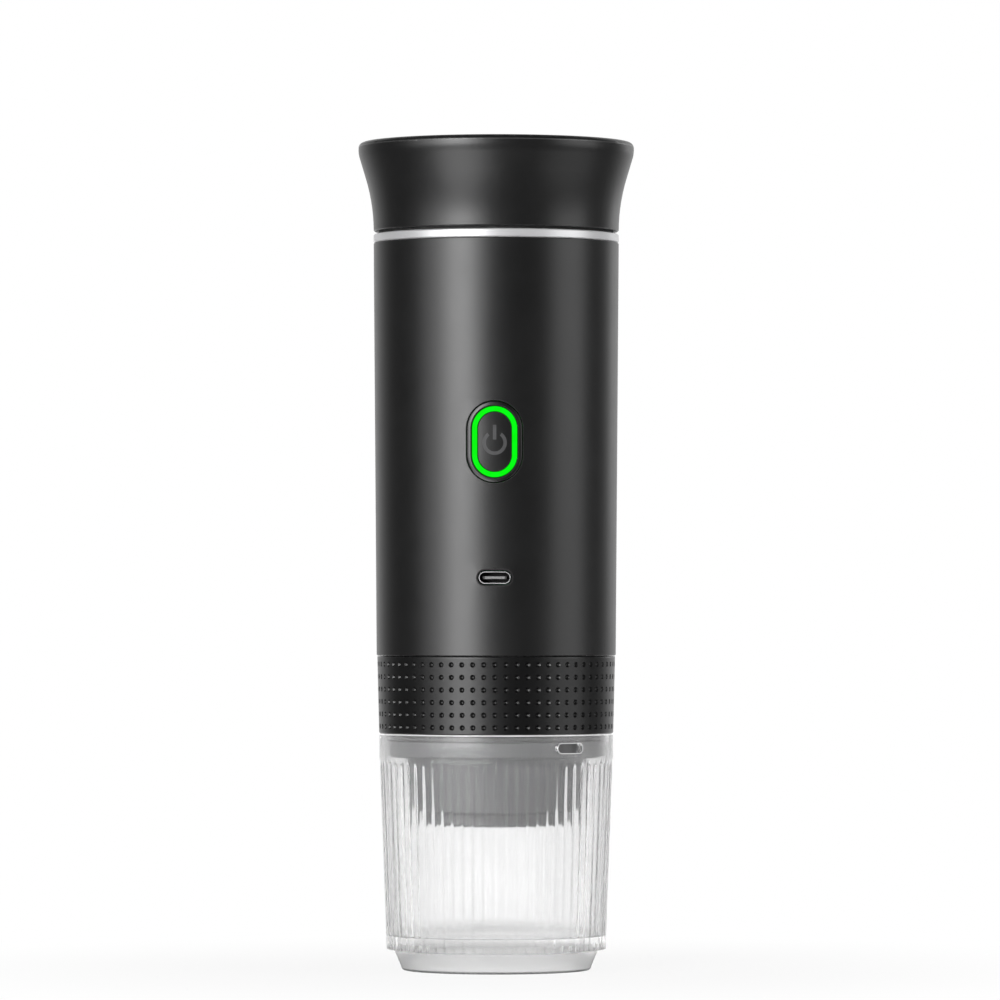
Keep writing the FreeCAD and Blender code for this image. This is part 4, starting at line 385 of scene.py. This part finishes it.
def port_shell():
    """The socket's plated shell: bright at its mouth, with painted shade down inside."""
    finish = Finish("port_shell")
    x, y, z = finish.parts()
    marks = finish.grain(0.1 * MM, finish.join(x * 0.2, y, z))
    # Painted shade: down inside the socket and in its bore the shell is near black, dull and
    # barely metallic.
    bore = 1 - from_port(x, z).ramp(1.48 * MM, 1.56 * MM)
    inside = y.ramp(-34.15 * MM, -33.9 * MM).most(bore)
    colour = finish.blend(marks, tone((0.28, 0.28, 0.285)), tone((0.36, 0.36, 0.365)))
    return finish.surface(
        Base_Color=finish.blend(inside, colour, tone(0.012)), Metallic=1 - 0.9 * inside,
        Roughness=0.34 + 0.1 * marks + 0.4 * inside, Normal=finish.bump(marks, 0.002 * MM))


def port_tongue():
    """The socket's tongue: grey in the middle with its contacts, dark towards the ends."""
    finish = Finish("port_tongue")
    x, y, z = finish.parts()
    fine = finish.grain(0.2 * MM)
    contact = abs((x / (0.5 * MM)).part() - 0.5).below(0.3)
    middle = (1 - abs(x).ramp(2.7 * MM, 2.9 * MM)) * (
        1 - abs(z - PORT_HEIGHT).ramp(0.3 * MM, 0.38 * MM))
    colour = finish.blend(contact, tone((0.2, 0.2, 0.205)), tone((0.25, 0.25, 0.25)))
    return finish.surface(
        Base_Color=finish.blend(middle, tone(0.012), colour),
        Roughness=0.4 + 0.1 * fine, Normal=finish.bump(fine, 0.003 * MM))


def board_mask():
    """Green solder mask with the tracks under it just showing."""
    finish = Finish("board_mask")
    x, y, z = finish.parts()
    step = (finish.grain(6 * MM) * 6).floor() / 6
    upright = abs((x / (1.6 * MM) + step * 2).part() - 0.5).below(0.16)
    level = abs((z / (1.2 * MM)).part() - 0.5).below(0.12) * step.above(0.5)
    track = upright.most(level)
    fine = finish.grain(0.4 * MM)
    return finish.surface(
        Base_Color=finish.blend(track, tone((0.02, 0.11, 0.05)), tone((0.05, 0.2, 0.09))),
        Roughness=0.32 + 0.2 * (fine - 0.5),
        Normal=finish.bump(track * 0.7 + 0.3 * fine, 0.02 * MM))


def cell_wrap():
    """The shrink sleeve of a battery cell, with its long wrinkles."""
    finish = Finish("cell_wrap")
    x, y, z = finish.parts()
    wrinkle = finish.grain(1.3 * MM, finish.join(x, y, z * 0.3), detail=3.0)
    cloud = finish.grain(5 * MM)
    return finish.surface(
        Base_Color=finish.mottle(cloud, (0.04, 0.2, 0.13), (0.06, 0.26, 0.17)),
        Roughness=0.28 + 0.16 * (cloud - 0.5), Normal=finish.bump(wrinkle, 0.05 * MM))


def frosted_cup():
    """Clear plastic with a fine frost, a deeper tone in its thick floor, a painted contact shadow
    along the foot's bottom edge and a painted highlight glow on its rim and vent edges.
    """
    finish = Finish("frosted_cup")
    x, y, height = finish.parts()
    reach = distance(x, y)
    frost = finish.grain(0.3 * MM)
    cloud = finish.grain(8 * MM)
    foot = 1 - height.ramp(4.6 * MM, 7.4 * MM)
    thick = height.ramp(5.8 * MM, 6.4 * MM) * (1 - height.ramp(9.2 * MM, 10.2 * MM))
    # Painted contact shadow: the outer bottom edge of the foot is coloured dark.
    under = (1 - height.ramp(0.4 * MM, 1.0 * MM)) * reach.above(25.9 * MM)
    colour = finish.mottle(cloud, (0.956, 0.956, 0.958), (0.972, 0.972, 0.974))
    for share, shade in ((foot, 0.99), (thick, 0.7), (under, 0.12)):
        colour = finish.blend(share, colour, tone(shade))
    # Painted highlight: the rim's top edge and the edge round the vent slot glow (emission) as if
    # lit.
    across = x * math.cos(VENT_TURN) + y * math.sin(VENT_TURN)
    from_vent = from_line(across, height - VENT_HEIGHT, VENT_HALF_LINE)
    cut = stripe(from_vent, VENT_RADIUS + 0.11 * MM, 0.2 * MM)
    cut = cut * y.below(0.0) * x.above(0.0) * reach.above(33.8 * MM)
    rim = height.ramp(68.1 * MM, 68.35 * MM)
    return finish.surface(
        Base_Color=colour,
        Roughness=0.14 + 0.03 * (frost - 0.5) + 0.03 * (cloud - 0.5) + 0.2 * foot,
        IOR=1.42, Transmission_Weight=0.95, Specular_Tint=tone(0.3),
        Emission_Color=finish.blend(rim.most(cut), tone(0.0), tone(0.5)),
        Emission_Strength=1.0, Normal=finish.bump(frost, 0.003 * MM))


slot_finishes = {
    "soft_black": satin_coat(
        "soft_black_coat", (0.003, 0.003, 0.0032), worn_and_highlight_shade=(0.06, 0.06, 0.06),
        roughness=0.35, grain=0.28 * MM, depth=0.006 * MM, shine=0.38,
        edges=LID_AND_SLEEVE_EDGES),
    "grip_black": satin_coat(
        "grip_black_coat", (0.0016, 0.0016, 0.0018), worn_and_highlight_shade=(0.022, 0.022, 0.023),
        roughness=0.32, grain=0.25 * MM, depth=0.005 * MM, shine=0.29, edges=GRIP_EDGES),
    "bezel_black": button_plastic(),
    "symbol_grey": moulded("symbol_ink", (0.058, 0.058, 0.06), 0.6,
                           grain=0.2 * MM, depth=0.004 * MM, shine=0.25),
    "green_light": lit_green(),
    "trim_metal": trim_steel(),
    "liner_grey": moulded("liner_plastic", (0.045, 0.045, 0.047), 0.42),
    "tank_plastic": moulded("tank_plastic", (0.07, 0.07, 0.073), 0.3),
    "gasket_rubber": rubber("gasket_rubber", (0.012, 0.012, 0.012)),
    "valve_rubber": rubber("valve_rubber", (0.42, 0.06, 0.03), 0.6),
    "strainer_steel": sheet_metal("strainer_steel", (0.66, 0.66, 0.67), 0.3),
    "heater_metal": sheet_metal("heater_plate", (0.6, 0.6, 0.62), 0.4, stain=(0.42, 0.38, 0.3)),
    "frame_plastic": moulded("frame_plastic", (0.09, 0.09, 0.095), 0.5),
    "cell_sleeve": cell_wrap(),
    "nickel": sheet_metal("nickel_strip", (0.68, 0.64, 0.56), 0.28),
    "board_green": board_mask(),
    "small_steel": turned_metal("small_steel", (0.58, 0.58, 0.6), 0.3),
    "switch_black": moulded("switch_plastic", (0.02, 0.02, 0.02), 0.4),
    "lamp_white": moulded("lamp_case", (0.82, 0.82, 0.74), 0.25),
    "port_metal": port_shell(),
    "port_tongue": port_tongue(),
    "can_metal": sheet_metal("motor_can", (0.56, 0.56, 0.57), 0.34),
    "cap_plastic": moulded("cap_plastic", (0.03, 0.03, 0.03), 0.45),
    "magnet_grey": sheet_metal("magnet_grey", (0.2, 0.2, 0.21), 0.5),
    "gear_plastic": moulded("gear_plastic", (0.74, 0.74, 0.7), 0.4),
    "pinion_brass": turned_metal("pinion_brass", (0.72, 0.5, 0.2), 0.25),
    "pump_plastic": moulded("pump_plastic", (0.68, 0.68, 0.65), 0.42),
    "hose_silicone": rubber("hose_silicone", (0.66, 0.66, 0.62), 0.5),
    "lead_red": rubber("lead_sleeve", (0.42, 0.02, 0.02), 0.5),
    "shower_plastic": moulded("shower_plastic", (0.04, 0.04, 0.04), 0.45),
    "brew_plastic": moulded("brew_plastic", (0.055, 0.055, 0.056), 0.62,
                            grain=0.3 * MM, depth=0.004 * MM, shine=0.7),
    "cup_clear": frosted_cup(),
}
for node_object in node_objects.values():
    for slot in node_object.material_slots:
        slot.material = slot_finishes[slot.material.name.split(".")[0]]
cup_seal_slot = node_objects["cup_seal"].material_slots[0]
cup_seal_slot.material = rubber("cup_seal_silicone", (0.05, 0.05, 0.05))


def show(name, data):
    """A new object in the scene with this mesh, lamp or camera."""
    thing = bpy.data.objects.new(name, data)
    bpy.context.scene.collection.objects.link(thing)
    return thing


def as_mesh(name, shape):
    """Ends a shape under construction as a mesh."""
    mesh = bpy.data.meshes.new(name)
    shape.to_mesh(mesh)
    shape.free()
    return mesh


def applied(thing):
    """The plain mesh of an object with its modifiers applied."""
    ready = thing.evaluated_get(bpy.context.evaluated_depsgraph_get())
    return bpy.data.meshes.new_from_object(ready)


def soften(piece, crease):
    """Smooth shading with sharp edges only where faces meet at more than crease degrees."""
    for face in piece.data.polygons:
        face.use_smooth = True
    piece.data.set_sharp_from_angle(angle=math.radians(crease))


def join_rings(shape, rings, closed):
    """Faces from each ring of corners to the next, and if closed from the last to the first."""
    nexts = rings[1:] + rings[:1] if closed else rings[1:]
    for low, high in zip(rings, nexts):
        for step in range(len(low)):
            after = (step + 1) % len(low)
            corners = list(dict.fromkeys((low[step], low[after], high[after], high[step])))
            if len(corners) > 2:
                shape.faces.new(corners)


def lathe(name, outline, turns, first_turn=0.0, closed=True):
    """A mesh turned round the middle axis from an outline of (radius, height) pairs.

    The outline runs up the outside and down the inside, so that faces point outwards.
    """
    shape = bmesh.new()
    rings = []
    for reach, height in outline:
        if reach == 0:
            rings.append([shape.verts.new((0.0, 0.0, height))] * turns)
            continue
        ring = []
        for step in range(turns):
            turn = first_turn + 2 * math.pi * step / turns
            ring.append(shape.verts.new((reach * math.cos(turn), reach * math.sin(turn), height)))
        rings.append(ring)
    join_rings(shape, rings, closed)
    return as_mesh(name, shape)


def arc(middle_reach, middle_height, radius, start, end, steps):
    """Points on an arc of an outline, angles in degrees from the outward direction."""
    turns = [math.radians(start + (end - start) * step / steps) for step in range(steps + 1)]
    return [(middle_reach + radius * math.cos(turn), middle_height + radius * math.sin(turn))
            for turn in turns]


def rule_tree(name, sizes):
    """A Geometry Nodes tree with one named input for each size, and its wires."""
    group = bpy.data.node_groups.new(name, "GeometryNodeTree")
    group.interface.new_socket("Geometry", in_out="INPUT", socket_type="NodeSocketGeometry")
    group.interface.new_socket("Geometry", in_out="OUTPUT", socket_type="NodeSocketGeometry")
    kinds = {int: "NodeSocketInt", float: "NodeSocketFloat"}
    for label, value in sizes.items():
        kind = kinds.get(type(value), "NodeSocketMaterial")
        group.interface.new_socket(label, in_out="INPUT", socket_type=kind)
    tree = Tree(group)
    source = group.nodes.new("NodeGroupInput")
    wires = {output.name: Wire(tree, output) for output in source.outputs if output.name}
    return tree, wires


def finish_tree(tree, geometry, material):
    """Ends a tree as a plain mesh with its material."""
    real = tree.add("GeometryNodeRealizeInstances", None, {0: geometry})
    coated = tree.add("GeometryNodeSetMaterial", None,
                      {"Geometry": real, "Material": material})
    tree.add("NodeGroupOutput", None, {0: coated})


def bake_rule(name, base, tree, sizes):
    """Runs a tree on a base mesh with its sizes and hands back one plain object."""
    maker = show(name + "_maker", base)
    modifier = maker.modifiers.new("rule", "NODES")
    modifier.node_group = tree.nodes_tree
    for item in tree.nodes_tree.interface.items_tree:
        if item.in_out == "INPUT" and item.name in sizes:
            modifier[item.identifier] = sizes[item.name]
    mesh = applied(maker)
    mesh.name = name
    bpy.data.objects.remove(maker)
    return show(name, mesh)


def make_dimpled_grip():
    """The grip collar with its rows of drilled dimples, all round.

    A flat grid has one cell for each dimple, and samples steps across a cell. Each cell's
    square rings of corners become the round rings of its dimple, and the grid is wrapped
    round the collar.
    """
    count, samples = 68, 8
    sizes = {"Columns": count, "Rows": 6, "Low": 68.9 * MM, "High": 90.5 * MM,
             "Low Radius": 33.957 * MM, "High Radius": 34.49 * MM,
             "Dimple Radius": 0.72 * MM, "Dimple Depth": 0.62 * MM,
             "Finish": slot_finishes["grip_black"]}
    tree, size = rule_tree("dimpled_grip_rule", sizes)
    columns, rows, low, high = [size[label] for label in ("Columns", "Rows", "Low", "High")]
    sheet = tree.add("GeometryNodeMeshGrid", None,
                     {"Size X": columns * 1.0, "Size Y": rows * 1.0,
                      "Vertices X": columns * samples + 1, "Vertices Y": rows * samples + 1})
    x, y, z = tree.split(tree.add("GeometryNodeInputPosition"))
    column_place, row_place = x + columns / 2, y + rows / 2
    column, row = (column_place + 0.001).floor(), (row_place + 0.001).floor()
    across = 2 * (column_place - column) - 1
    along = 2 * (row_place - row) - 1
    square = abs(across).most(abs(along))
    slant = distance(across, along).most(0.001)
    dimple = size["Dimple Radius"]
    # The round rings lie closer together towards the rim, and the last lies outside it.
    reach = dimple * square * (1.95 - 0.65 * square)
    sunk = size["Dimple Depth"] * (1 - (reach / dimple) ** 2).most(0.0)
    border = square.above(0.9)
    half_row = (high - low) / rows / 2
    shift = border * (along * half_row) + (1 - border) * (along / slant * reach)
    height = low + (row + 0.5) * 2 * half_row + shift
    share = (height - low) / (high - low)
    skin = size["Low Radius"] + share * (size["High Radius"] - size["Low Radius"])
    half_column = math.pi * skin / columns
    swing = border * across + (1 - border) * (across / slant * reach / half_column)
    turn = 2 * math.pi / columns * (column + 0.5 + swing / 2) - math.pi / 2 - math.pi / columns
    radius = skin - sunk
    wrapped = tree.add("GeometryNodeSetPosition", None,
                       {"Geometry": sheet,
                        "Position": tree.join(radius * turn.cosine(), radius * turn.sine(),
                                              height)})
    both = tree.add("GeometryNodeJoinGeometry", None, {0: wrapped})
    tree.nodes_tree.links.new(size["Geometry"].socket, both.socket.node.inputs[0])
    welded = tree.add("GeometryNodeMergeByDistance", None,
                      {"Geometry": both, "Distance": 0.004 * MM})
    finish_tree(tree, welded, size["Finish"])
    foot, top, bore, chamfer = 68.6 * MM, 90.9 * MM, 31.7 * MM, 0.3 * MM
    outline = [(sizes["High Radius"], sizes["High"]), (34.495 * MM, 90.8 * MM),
               (34.42 * MM, top), (bore, top), (bore, foot), (33.95 * MM - chamfer, foot),
               (sizes["Low Radius"], sizes["Low"])]
    rest = lathe("grip_rest", outline, count * samples, -math.pi / 2 - math.pi / count,
                 closed=False)
    piece = bake_rule("dimpled_grip", rest, tree, sizes)
    soften(piece, 42)
    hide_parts("grip_collar")
    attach(piece, "brew_head")


def cup_outline(low, high, low_radius, slope):
    """The cup's section in millimetres: foot, fluted skin, plain band, and down the inside."""
    shares = (0.02, 0.1, 0.2, 0.3, 0.4, 0.5, 0.6, 0.7, 0.8, 0.9, 0.972, 0.982, 0.991)
    heights = [low + (high - low) * share for share in shares]
    foot = [(25.0, 0.0)] + arc(26.4, 1.2, 1.2, -90, 0, 4) + [(29.7, low), (low_radius, low)]
    skin = [(low_radius + slope * (height - low), height) for height in heights]
    band = [(33.7, high), (33.9, 61.6), (33.9, 68.2), (33.84, 68.44), (33.6, 68.6),
            (32.4, 68.6), (32.1, 68.3), (32.1, 61.1), (31.4, 59.6)]
    inside = arc(28.85, 10.6, 0.6, 0, -90, 4) + [(0.0, 10.0), (0.0, 7.8), (25.0, 7.8)]
    return [(reach * MM, height * MM) for reach, height in foot + skin + band + inside]


def make_fluted_cup():
    """The clear cup with its rounded flutes, plain band, vent slot and foot."""
    count, samples = 68, 12
    flutes_low, flutes_high, low_radius, high_radius = 6.2, 60.6, 31.75, 33.7
    slope = (high_radius - low_radius) / (flutes_high - flutes_low)
    sizes = {"Flutes": count, "Flute Depth": 0.4 * MM, "Flute Width": 0.5,
             "Low": flutes_low * MM, "High": flutes_high * MM, "Run Out": 1.5 * MM,
             "Finish": slot_finishes["cup_clear"]}
    base = lathe("cup_shell", cup_outline(flutes_low, flutes_high, low_radius, slope),
                 count * samples)
    tree, size = rule_tree("fluted_cup_rule", sizes)
    low, high = size["Low"], size["High"]
    x, y, z = tree.split(tree.add("GeometryNodeInputPosition"))
    radius = distance(x, y)
    between = z.above(low - 0.01 * MM) * z.below(high - 0.01 * MM)
    skin = between * (radius - slope * (z - low)).above(31.5 * MM)
    place = (y.angle(x) / (2 * math.pi) * size["Flutes"] + 0.5).part()
    valley = 1 - (2 * abs(place - 0.5)).ramp(0.0, size["Flute Width"])
    fade = ((high - z) / size["Run Out"]).least(1.0)
    sunk = valley * size["Flute Depth"] * skin * fade
    share = (radius - sunk) / radius.most(1e-6)
    fluted = tree.add("GeometryNodeSetPosition", None,
                      {"Geometry": size["Geometry"],
                       "Position": tree.join(x * share, y * share, z)})
    finish_tree(tree, fluted, size["Finish"])
    piece = bake_rule("fluted_cup", base, tree, sizes)
    cut_vent(piece)
    soften(piece, 38)
    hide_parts("cup")
    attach(piece, "cup")


def cut_vent(cup):
    """Cuts the rounded vent slot through the band."""
    nearest, furthest, steps = 28 * MM, 38 * MM, 12
    shape = bmesh.new()
    rings = []
    for depth in (nearest, furthest):
        ring = []
        for side, start in ((1, -90), (-1, 90)):
            for step in range(steps + 1):
                bend = math.radians(start + 180 * step / steps)
                across = side * VENT_HALF_LINE + VENT_RADIUS * math.cos(bend)
                up = VENT_HEIGHT + VENT_RADIUS * math.sin(bend)
                ring.append(shape.verts.new((across, -depth, up)))
        rings.append(ring)
    join_rings(shape, rings, closed=False)
    for ring in rings:
        shape.faces.new(ring)
    bmesh.ops.rotate(shape, verts=shape.verts, cent=(0, 0, 0),
                     matrix=Matrix.Rotation(VENT_TURN, 3, "Z"))
    bmesh.ops.recalc_face_normals(shape, faces=shape.faces)
    cutter = show("vent_cutter", as_mesh("vent_cutter", shape))
    modifier = cup.modifiers.new("vent", "BOOLEAN")
    modifier.operation, modifier.object, modifier.solver = "DIFFERENCE", cutter, "EXACT"
    cup.data = applied(cup)
    cup.modifiers.clear()
    bpy.data.objects.remove(cutter)


def make_roomy_rubber():
    """The pump's rubber, its three studs long enough for every lean of the wobble plate.

    The plate's arms sit between each stud's cone and its head, at other heights on each
    stud because the plate leans. Here the cones end lower and the heads sit higher.
    """
    low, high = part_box("pump_diaphragm")
    middle_x, middle_y, flange_top = (low.x + high.x) / 2, (low.y + high.y) / 2, low.z + 1 * MM
    stud_circle, plate_lean, plate_height = 6.4 * MM, math.radians(7), 4.4 * MM
    half_arm, head = 1.35 * MM, 0.7 * MM
    wanted = (0.0, 2.25 * MM, 6.5 * MM, 7.2 * MM)
    studs = [math.radians(angle) for angle in (90, 210, -30)]
    shape = bmesh.new()
    shape.from_mesh(node_objects["pump_diaphragm"].data)
    bmesh.ops.remove_doubles(shape, verts=shape.verts, dist=1e-6)
    for corner in shape.verts:
        rise = corner.co.z - flange_top
        if rise < 0.01 * MM:
            continue
        turn = math.atan2(corner.co.y - middle_y, corner.co.x - middle_x)
        stud = min(studs, key=lambda angle: abs(math.remainder(turn - angle, 2 * math.pi)))
        arm = plate_height - stud_circle * math.cos(stud) * math.sin(plate_lean)
        given = (0.0, arm - half_arm, arm + half_arm, arm + half_arm + head)
        for part in range(3):
            if rise <= given[part + 1] + 0.02 * MM:
                share = (rise - given[part]) / (given[part + 1] - given[part])
                corner.co.z = flange_top + wanted[part] + share * (wanted[part + 1] - wanted[part])
                break
    bmesh.ops.recalc_face_normals(shape, faces=shape.faces)
    piece = show("roomy_rubber", as_mesh("roomy_rubber", shape))
    piece.data.materials.append(slot_finishes["valve_rubber"])
    soften(piece, 35)
    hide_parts("pump_diaphragm")
    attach(piece, "casing")


def front_corner(reach, depth, radius, start, end):
    """A rounded corner of a let-in ring, angles in degrees, 90 towards the front."""
    return [(across, -up) for across, up in arc(reach, -depth, radius, start, end, 5)]


def panel_ring(name, outline, node, body, slot):
    """A long round ring let into the front; outline is (reach, depth) pairs in millimetres.

    Reach counts from the button's middle line, depth from the curved front face. A depth of
    None is the flat back. The outline runs round the section, outer side first.
    """
    steps = 28
    shape = bmesh.new()
    loops = []
    for reach, depth in outline:
        loop = []
        for side, start in ((1, 0), (-1, 180)):
            for step in range(steps + 1):
                turn = math.radians(start + 180 * step / steps)
                x = reach * MM * math.cos(turn)
                z = BUTTON_HEIGHT + side * BUTTON_HALF_LINE + reach * MM * math.sin(turn)
                y = -PANEL_BACK if depth is None else (
                    depth * MM - math.sqrt(PANEL_RADIUS ** 2 - x * x))
                loop.append(shape.verts.new((x, y, z)))
        loops.append(loop)
    join_rings(shape, loops, closed=True)
    bmesh.ops.recalc_face_normals(shape, faces=shape.faces)
    piece = show(name, as_mesh(name, shape))
    piece.data.materials.append(slot_finishes[slot])
    soften(piece, 40)
    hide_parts(node)
    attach(piece, body)


make_dimpled_grip()
make_fluted_cup()
make_roomy_rubber()
panel_ring("button_frame", [
    (7.975, None), (7.975, 0.42), (7.93, 0.31), (7.84, 0.22), (7.75, 0.17), (7.5, 0.105),
    (7.25, 0.05), (7.05, 0.015), (6.9, 0.0), (6.75, 0.03), (6.65, 0.12), (6.65, None)],
           "button_bezel", "casing", "bezel_black")
panel_ring("lit_ring", [(6.55, None)] + front_corner(6.3, 0.27, 0.25, 0, 90)
           + [(5.7, 0.0)] + front_corner(5.1, 0.27, 0.25, 90, 180) + [(4.85, None)],
           "light_ring", "casing", "green_light")


def studio_rays(tree):
    """Rays that should meet the pale backdrop, and those of them that come off a mirror."""
    sight = tree.add("ShaderNodeLightPath", output="Is Camera Ray")
    glossy, clear = sight.other("Is Glossy Ray"), sight.other("Is Transmission Ray")
    return sight.most(glossy).most(clear), glossy * (1 - clear)


def front_dimming(mirror, towards_back):
    """How much less bright the studio is in a mirror, most at the front."""
    return mirror * (1 - towards_back.ramp(0.4, 1.0)) * (1 - FRONT_LEVEL)


def make_floor():
    """A wide pale floor: plain near the object, so that its shadow shows, and pure further out.

    It stays under the cup, which is what the object stands on.
    """
    mesh = lathe("studio_floor", [(0.0, 0.0), (9.0, 0.0)], 96, closed=False)
    mesh.flip_normals()
    floor = show("studio_floor", mesh)
    finish = Finish("studio_floor")
    x, y, height = finish.parts()
    reach = distance(x, y)
    seen, mirror = studio_rays(finish)
    grain = finish.grain(0.4)
    paint = finish.add("ShaderNodeBsdfDiffuse", None,
                       {"Color": finish.blend(grain, tone(0.86), tone(0.88))})
    dim = front_dimming(mirror, y / reach.most(0.001))
    light = finish.add("ShaderNodeEmission", None, {"Color": tone(1.0), "Strength": 1 - dim})
    clean = 0.88 + 0.12 * reach.ramp(0.03, 0.22)
    floor.data.materials.append(finish.coat(finish.add(
        "ShaderNodeMixShader", None, {0: seen * clean, 1: paint, 2: light})))
    floor.parent = frame["bodies"]["cup"]
    return floor


def make_world():
    """White all round, less bright in what the front of the object mirrors, and an even fill."""
    world = bpy.data.worlds.new("studio")
    bpy.context.scene.world = world
    world.use_nodes = True
    world.node_tree.nodes.clear()
    tree = Tree(world.node_tree)
    x, y, z = tree.split(tree.add("ShaderNodeTexCoord", output="Generated"))
    seen, mirror = studio_rays(tree)
    level = seen * (1 - front_dimming(mirror, y)) + (1 - seen) * FILL_LEVEL
    light = tree.add("ShaderNodeBackground", None, {"Color": tone(1.0), "Strength": level})
    tree.add("ShaderNodeOutputWorld", None, {"Surface": light})


def area_lamp(name, width, length, glow):
    """A soft rectangular lamp that the camera doesn't see, as bright as its glow."""
    light = bpy.data.lights.new(name, "AREA")
    light.shape, light.size, light.size_y = "RECTANGLE", width, length
    light.energy = glow * math.pi * width * length
    lamp = show(name, light)
    lamp.visible_camera = False
    return lamp


def softbox(name, side, away, width, glow, tall=1.6, base=0.005, shine_only=False):
    """An upright lamp, side degrees to the right of the front, its lower edge at base."""
    lamp = area_lamp(name, width, tall, glow)
    turn = math.radians(side)
    lamp.location = (away * math.sin(turn), -away * math.cos(turn), base + tall / 2)
    aim = Vector((0, 0, lamp.location.z)) - lamp.location
    lamp.rotation_euler = aim.to_track_quat("-Z", "Y").to_euler()
    lamp.visible_diffuse = not shine_only


def low_shine(name, side, near, far, width, glow, floor):
    """A soft panel lying on the floor that only shows in what mirrors it."""
    lamp = area_lamp(name, width, far - near, glow)
    turn, middle = math.radians(side), (near + far) / 2
    lamp.location = (middle * math.sin(turn), -middle * math.cos(turn), 0.002)
    lamp.rotation_euler = (math.pi, 0.0, turn)
    lamp.visible_diffuse = False
    lamp.parent = floor


def make_camera():
    """The photograph's view: long lens, eye a little above the middle of the body."""
    eye_distance, eye_height, eye_turn = 2.0, 0.1075, math.radians(0.75)
    target = Vector((0.0011, 0.0, 0.13625))
    data = bpy.data.cameras.new("photo_camera")
    data.sensor_width, data.lens, data.clip_start = 36.0, 248.0, 0.05
    camera = show("photo_camera", data)
    camera.location = (eye_distance * math.sin(eye_turn), -eye_distance * math.cos(eye_turn),
                       eye_height)
    aim = target - camera.location
    camera.rotation_euler = aim.to_track_quat("-Z", "Y").to_euler()
    bpy.context.scene.camera = camera


studio_floor = make_floor()
make_world()
softbox("key_softbox", side=-32, away=2.3, width=1.0, glow=6.0)
softbox("key_shine_narrow", side=-32, away=2.28, width=0.6, glow=3.0, shine_only=True)
softbox("key_shine_middle", side=-34, away=2.26, width=1.6, glow=4.2, shine_only=True)
softbox("key_shine_wide", side=-41, away=2.24, width=2.7, glow=2.8, shine_only=True)
softbox("side_softbox", side=73, away=2.3, width=1.5, glow=3.2)
for name, side, near, far, width, glow in (
        ("key_low_shine_near", -32, 0.16, 0.3, 0.25, 9.0),
        ("key_low_shine", -32, 0.3, 0.75, 0.3, 4.5),
        ("side_low_shine_near", 73, 0.16, 0.3, 0.25, 3.5),
        ("side_low_shine", 73, 0.3, 0.75, 0.4, 1.1)):
    low_shine(name, side, near, far, width, glow, studio_floor)
softbox("right_rim_softbox", side=142, away=2.3, width=0.5, glow=1.0, tall=1.4, base=0.1)
make_camera()
bpy.context.scene.view_settings.view_transform = "Standard"
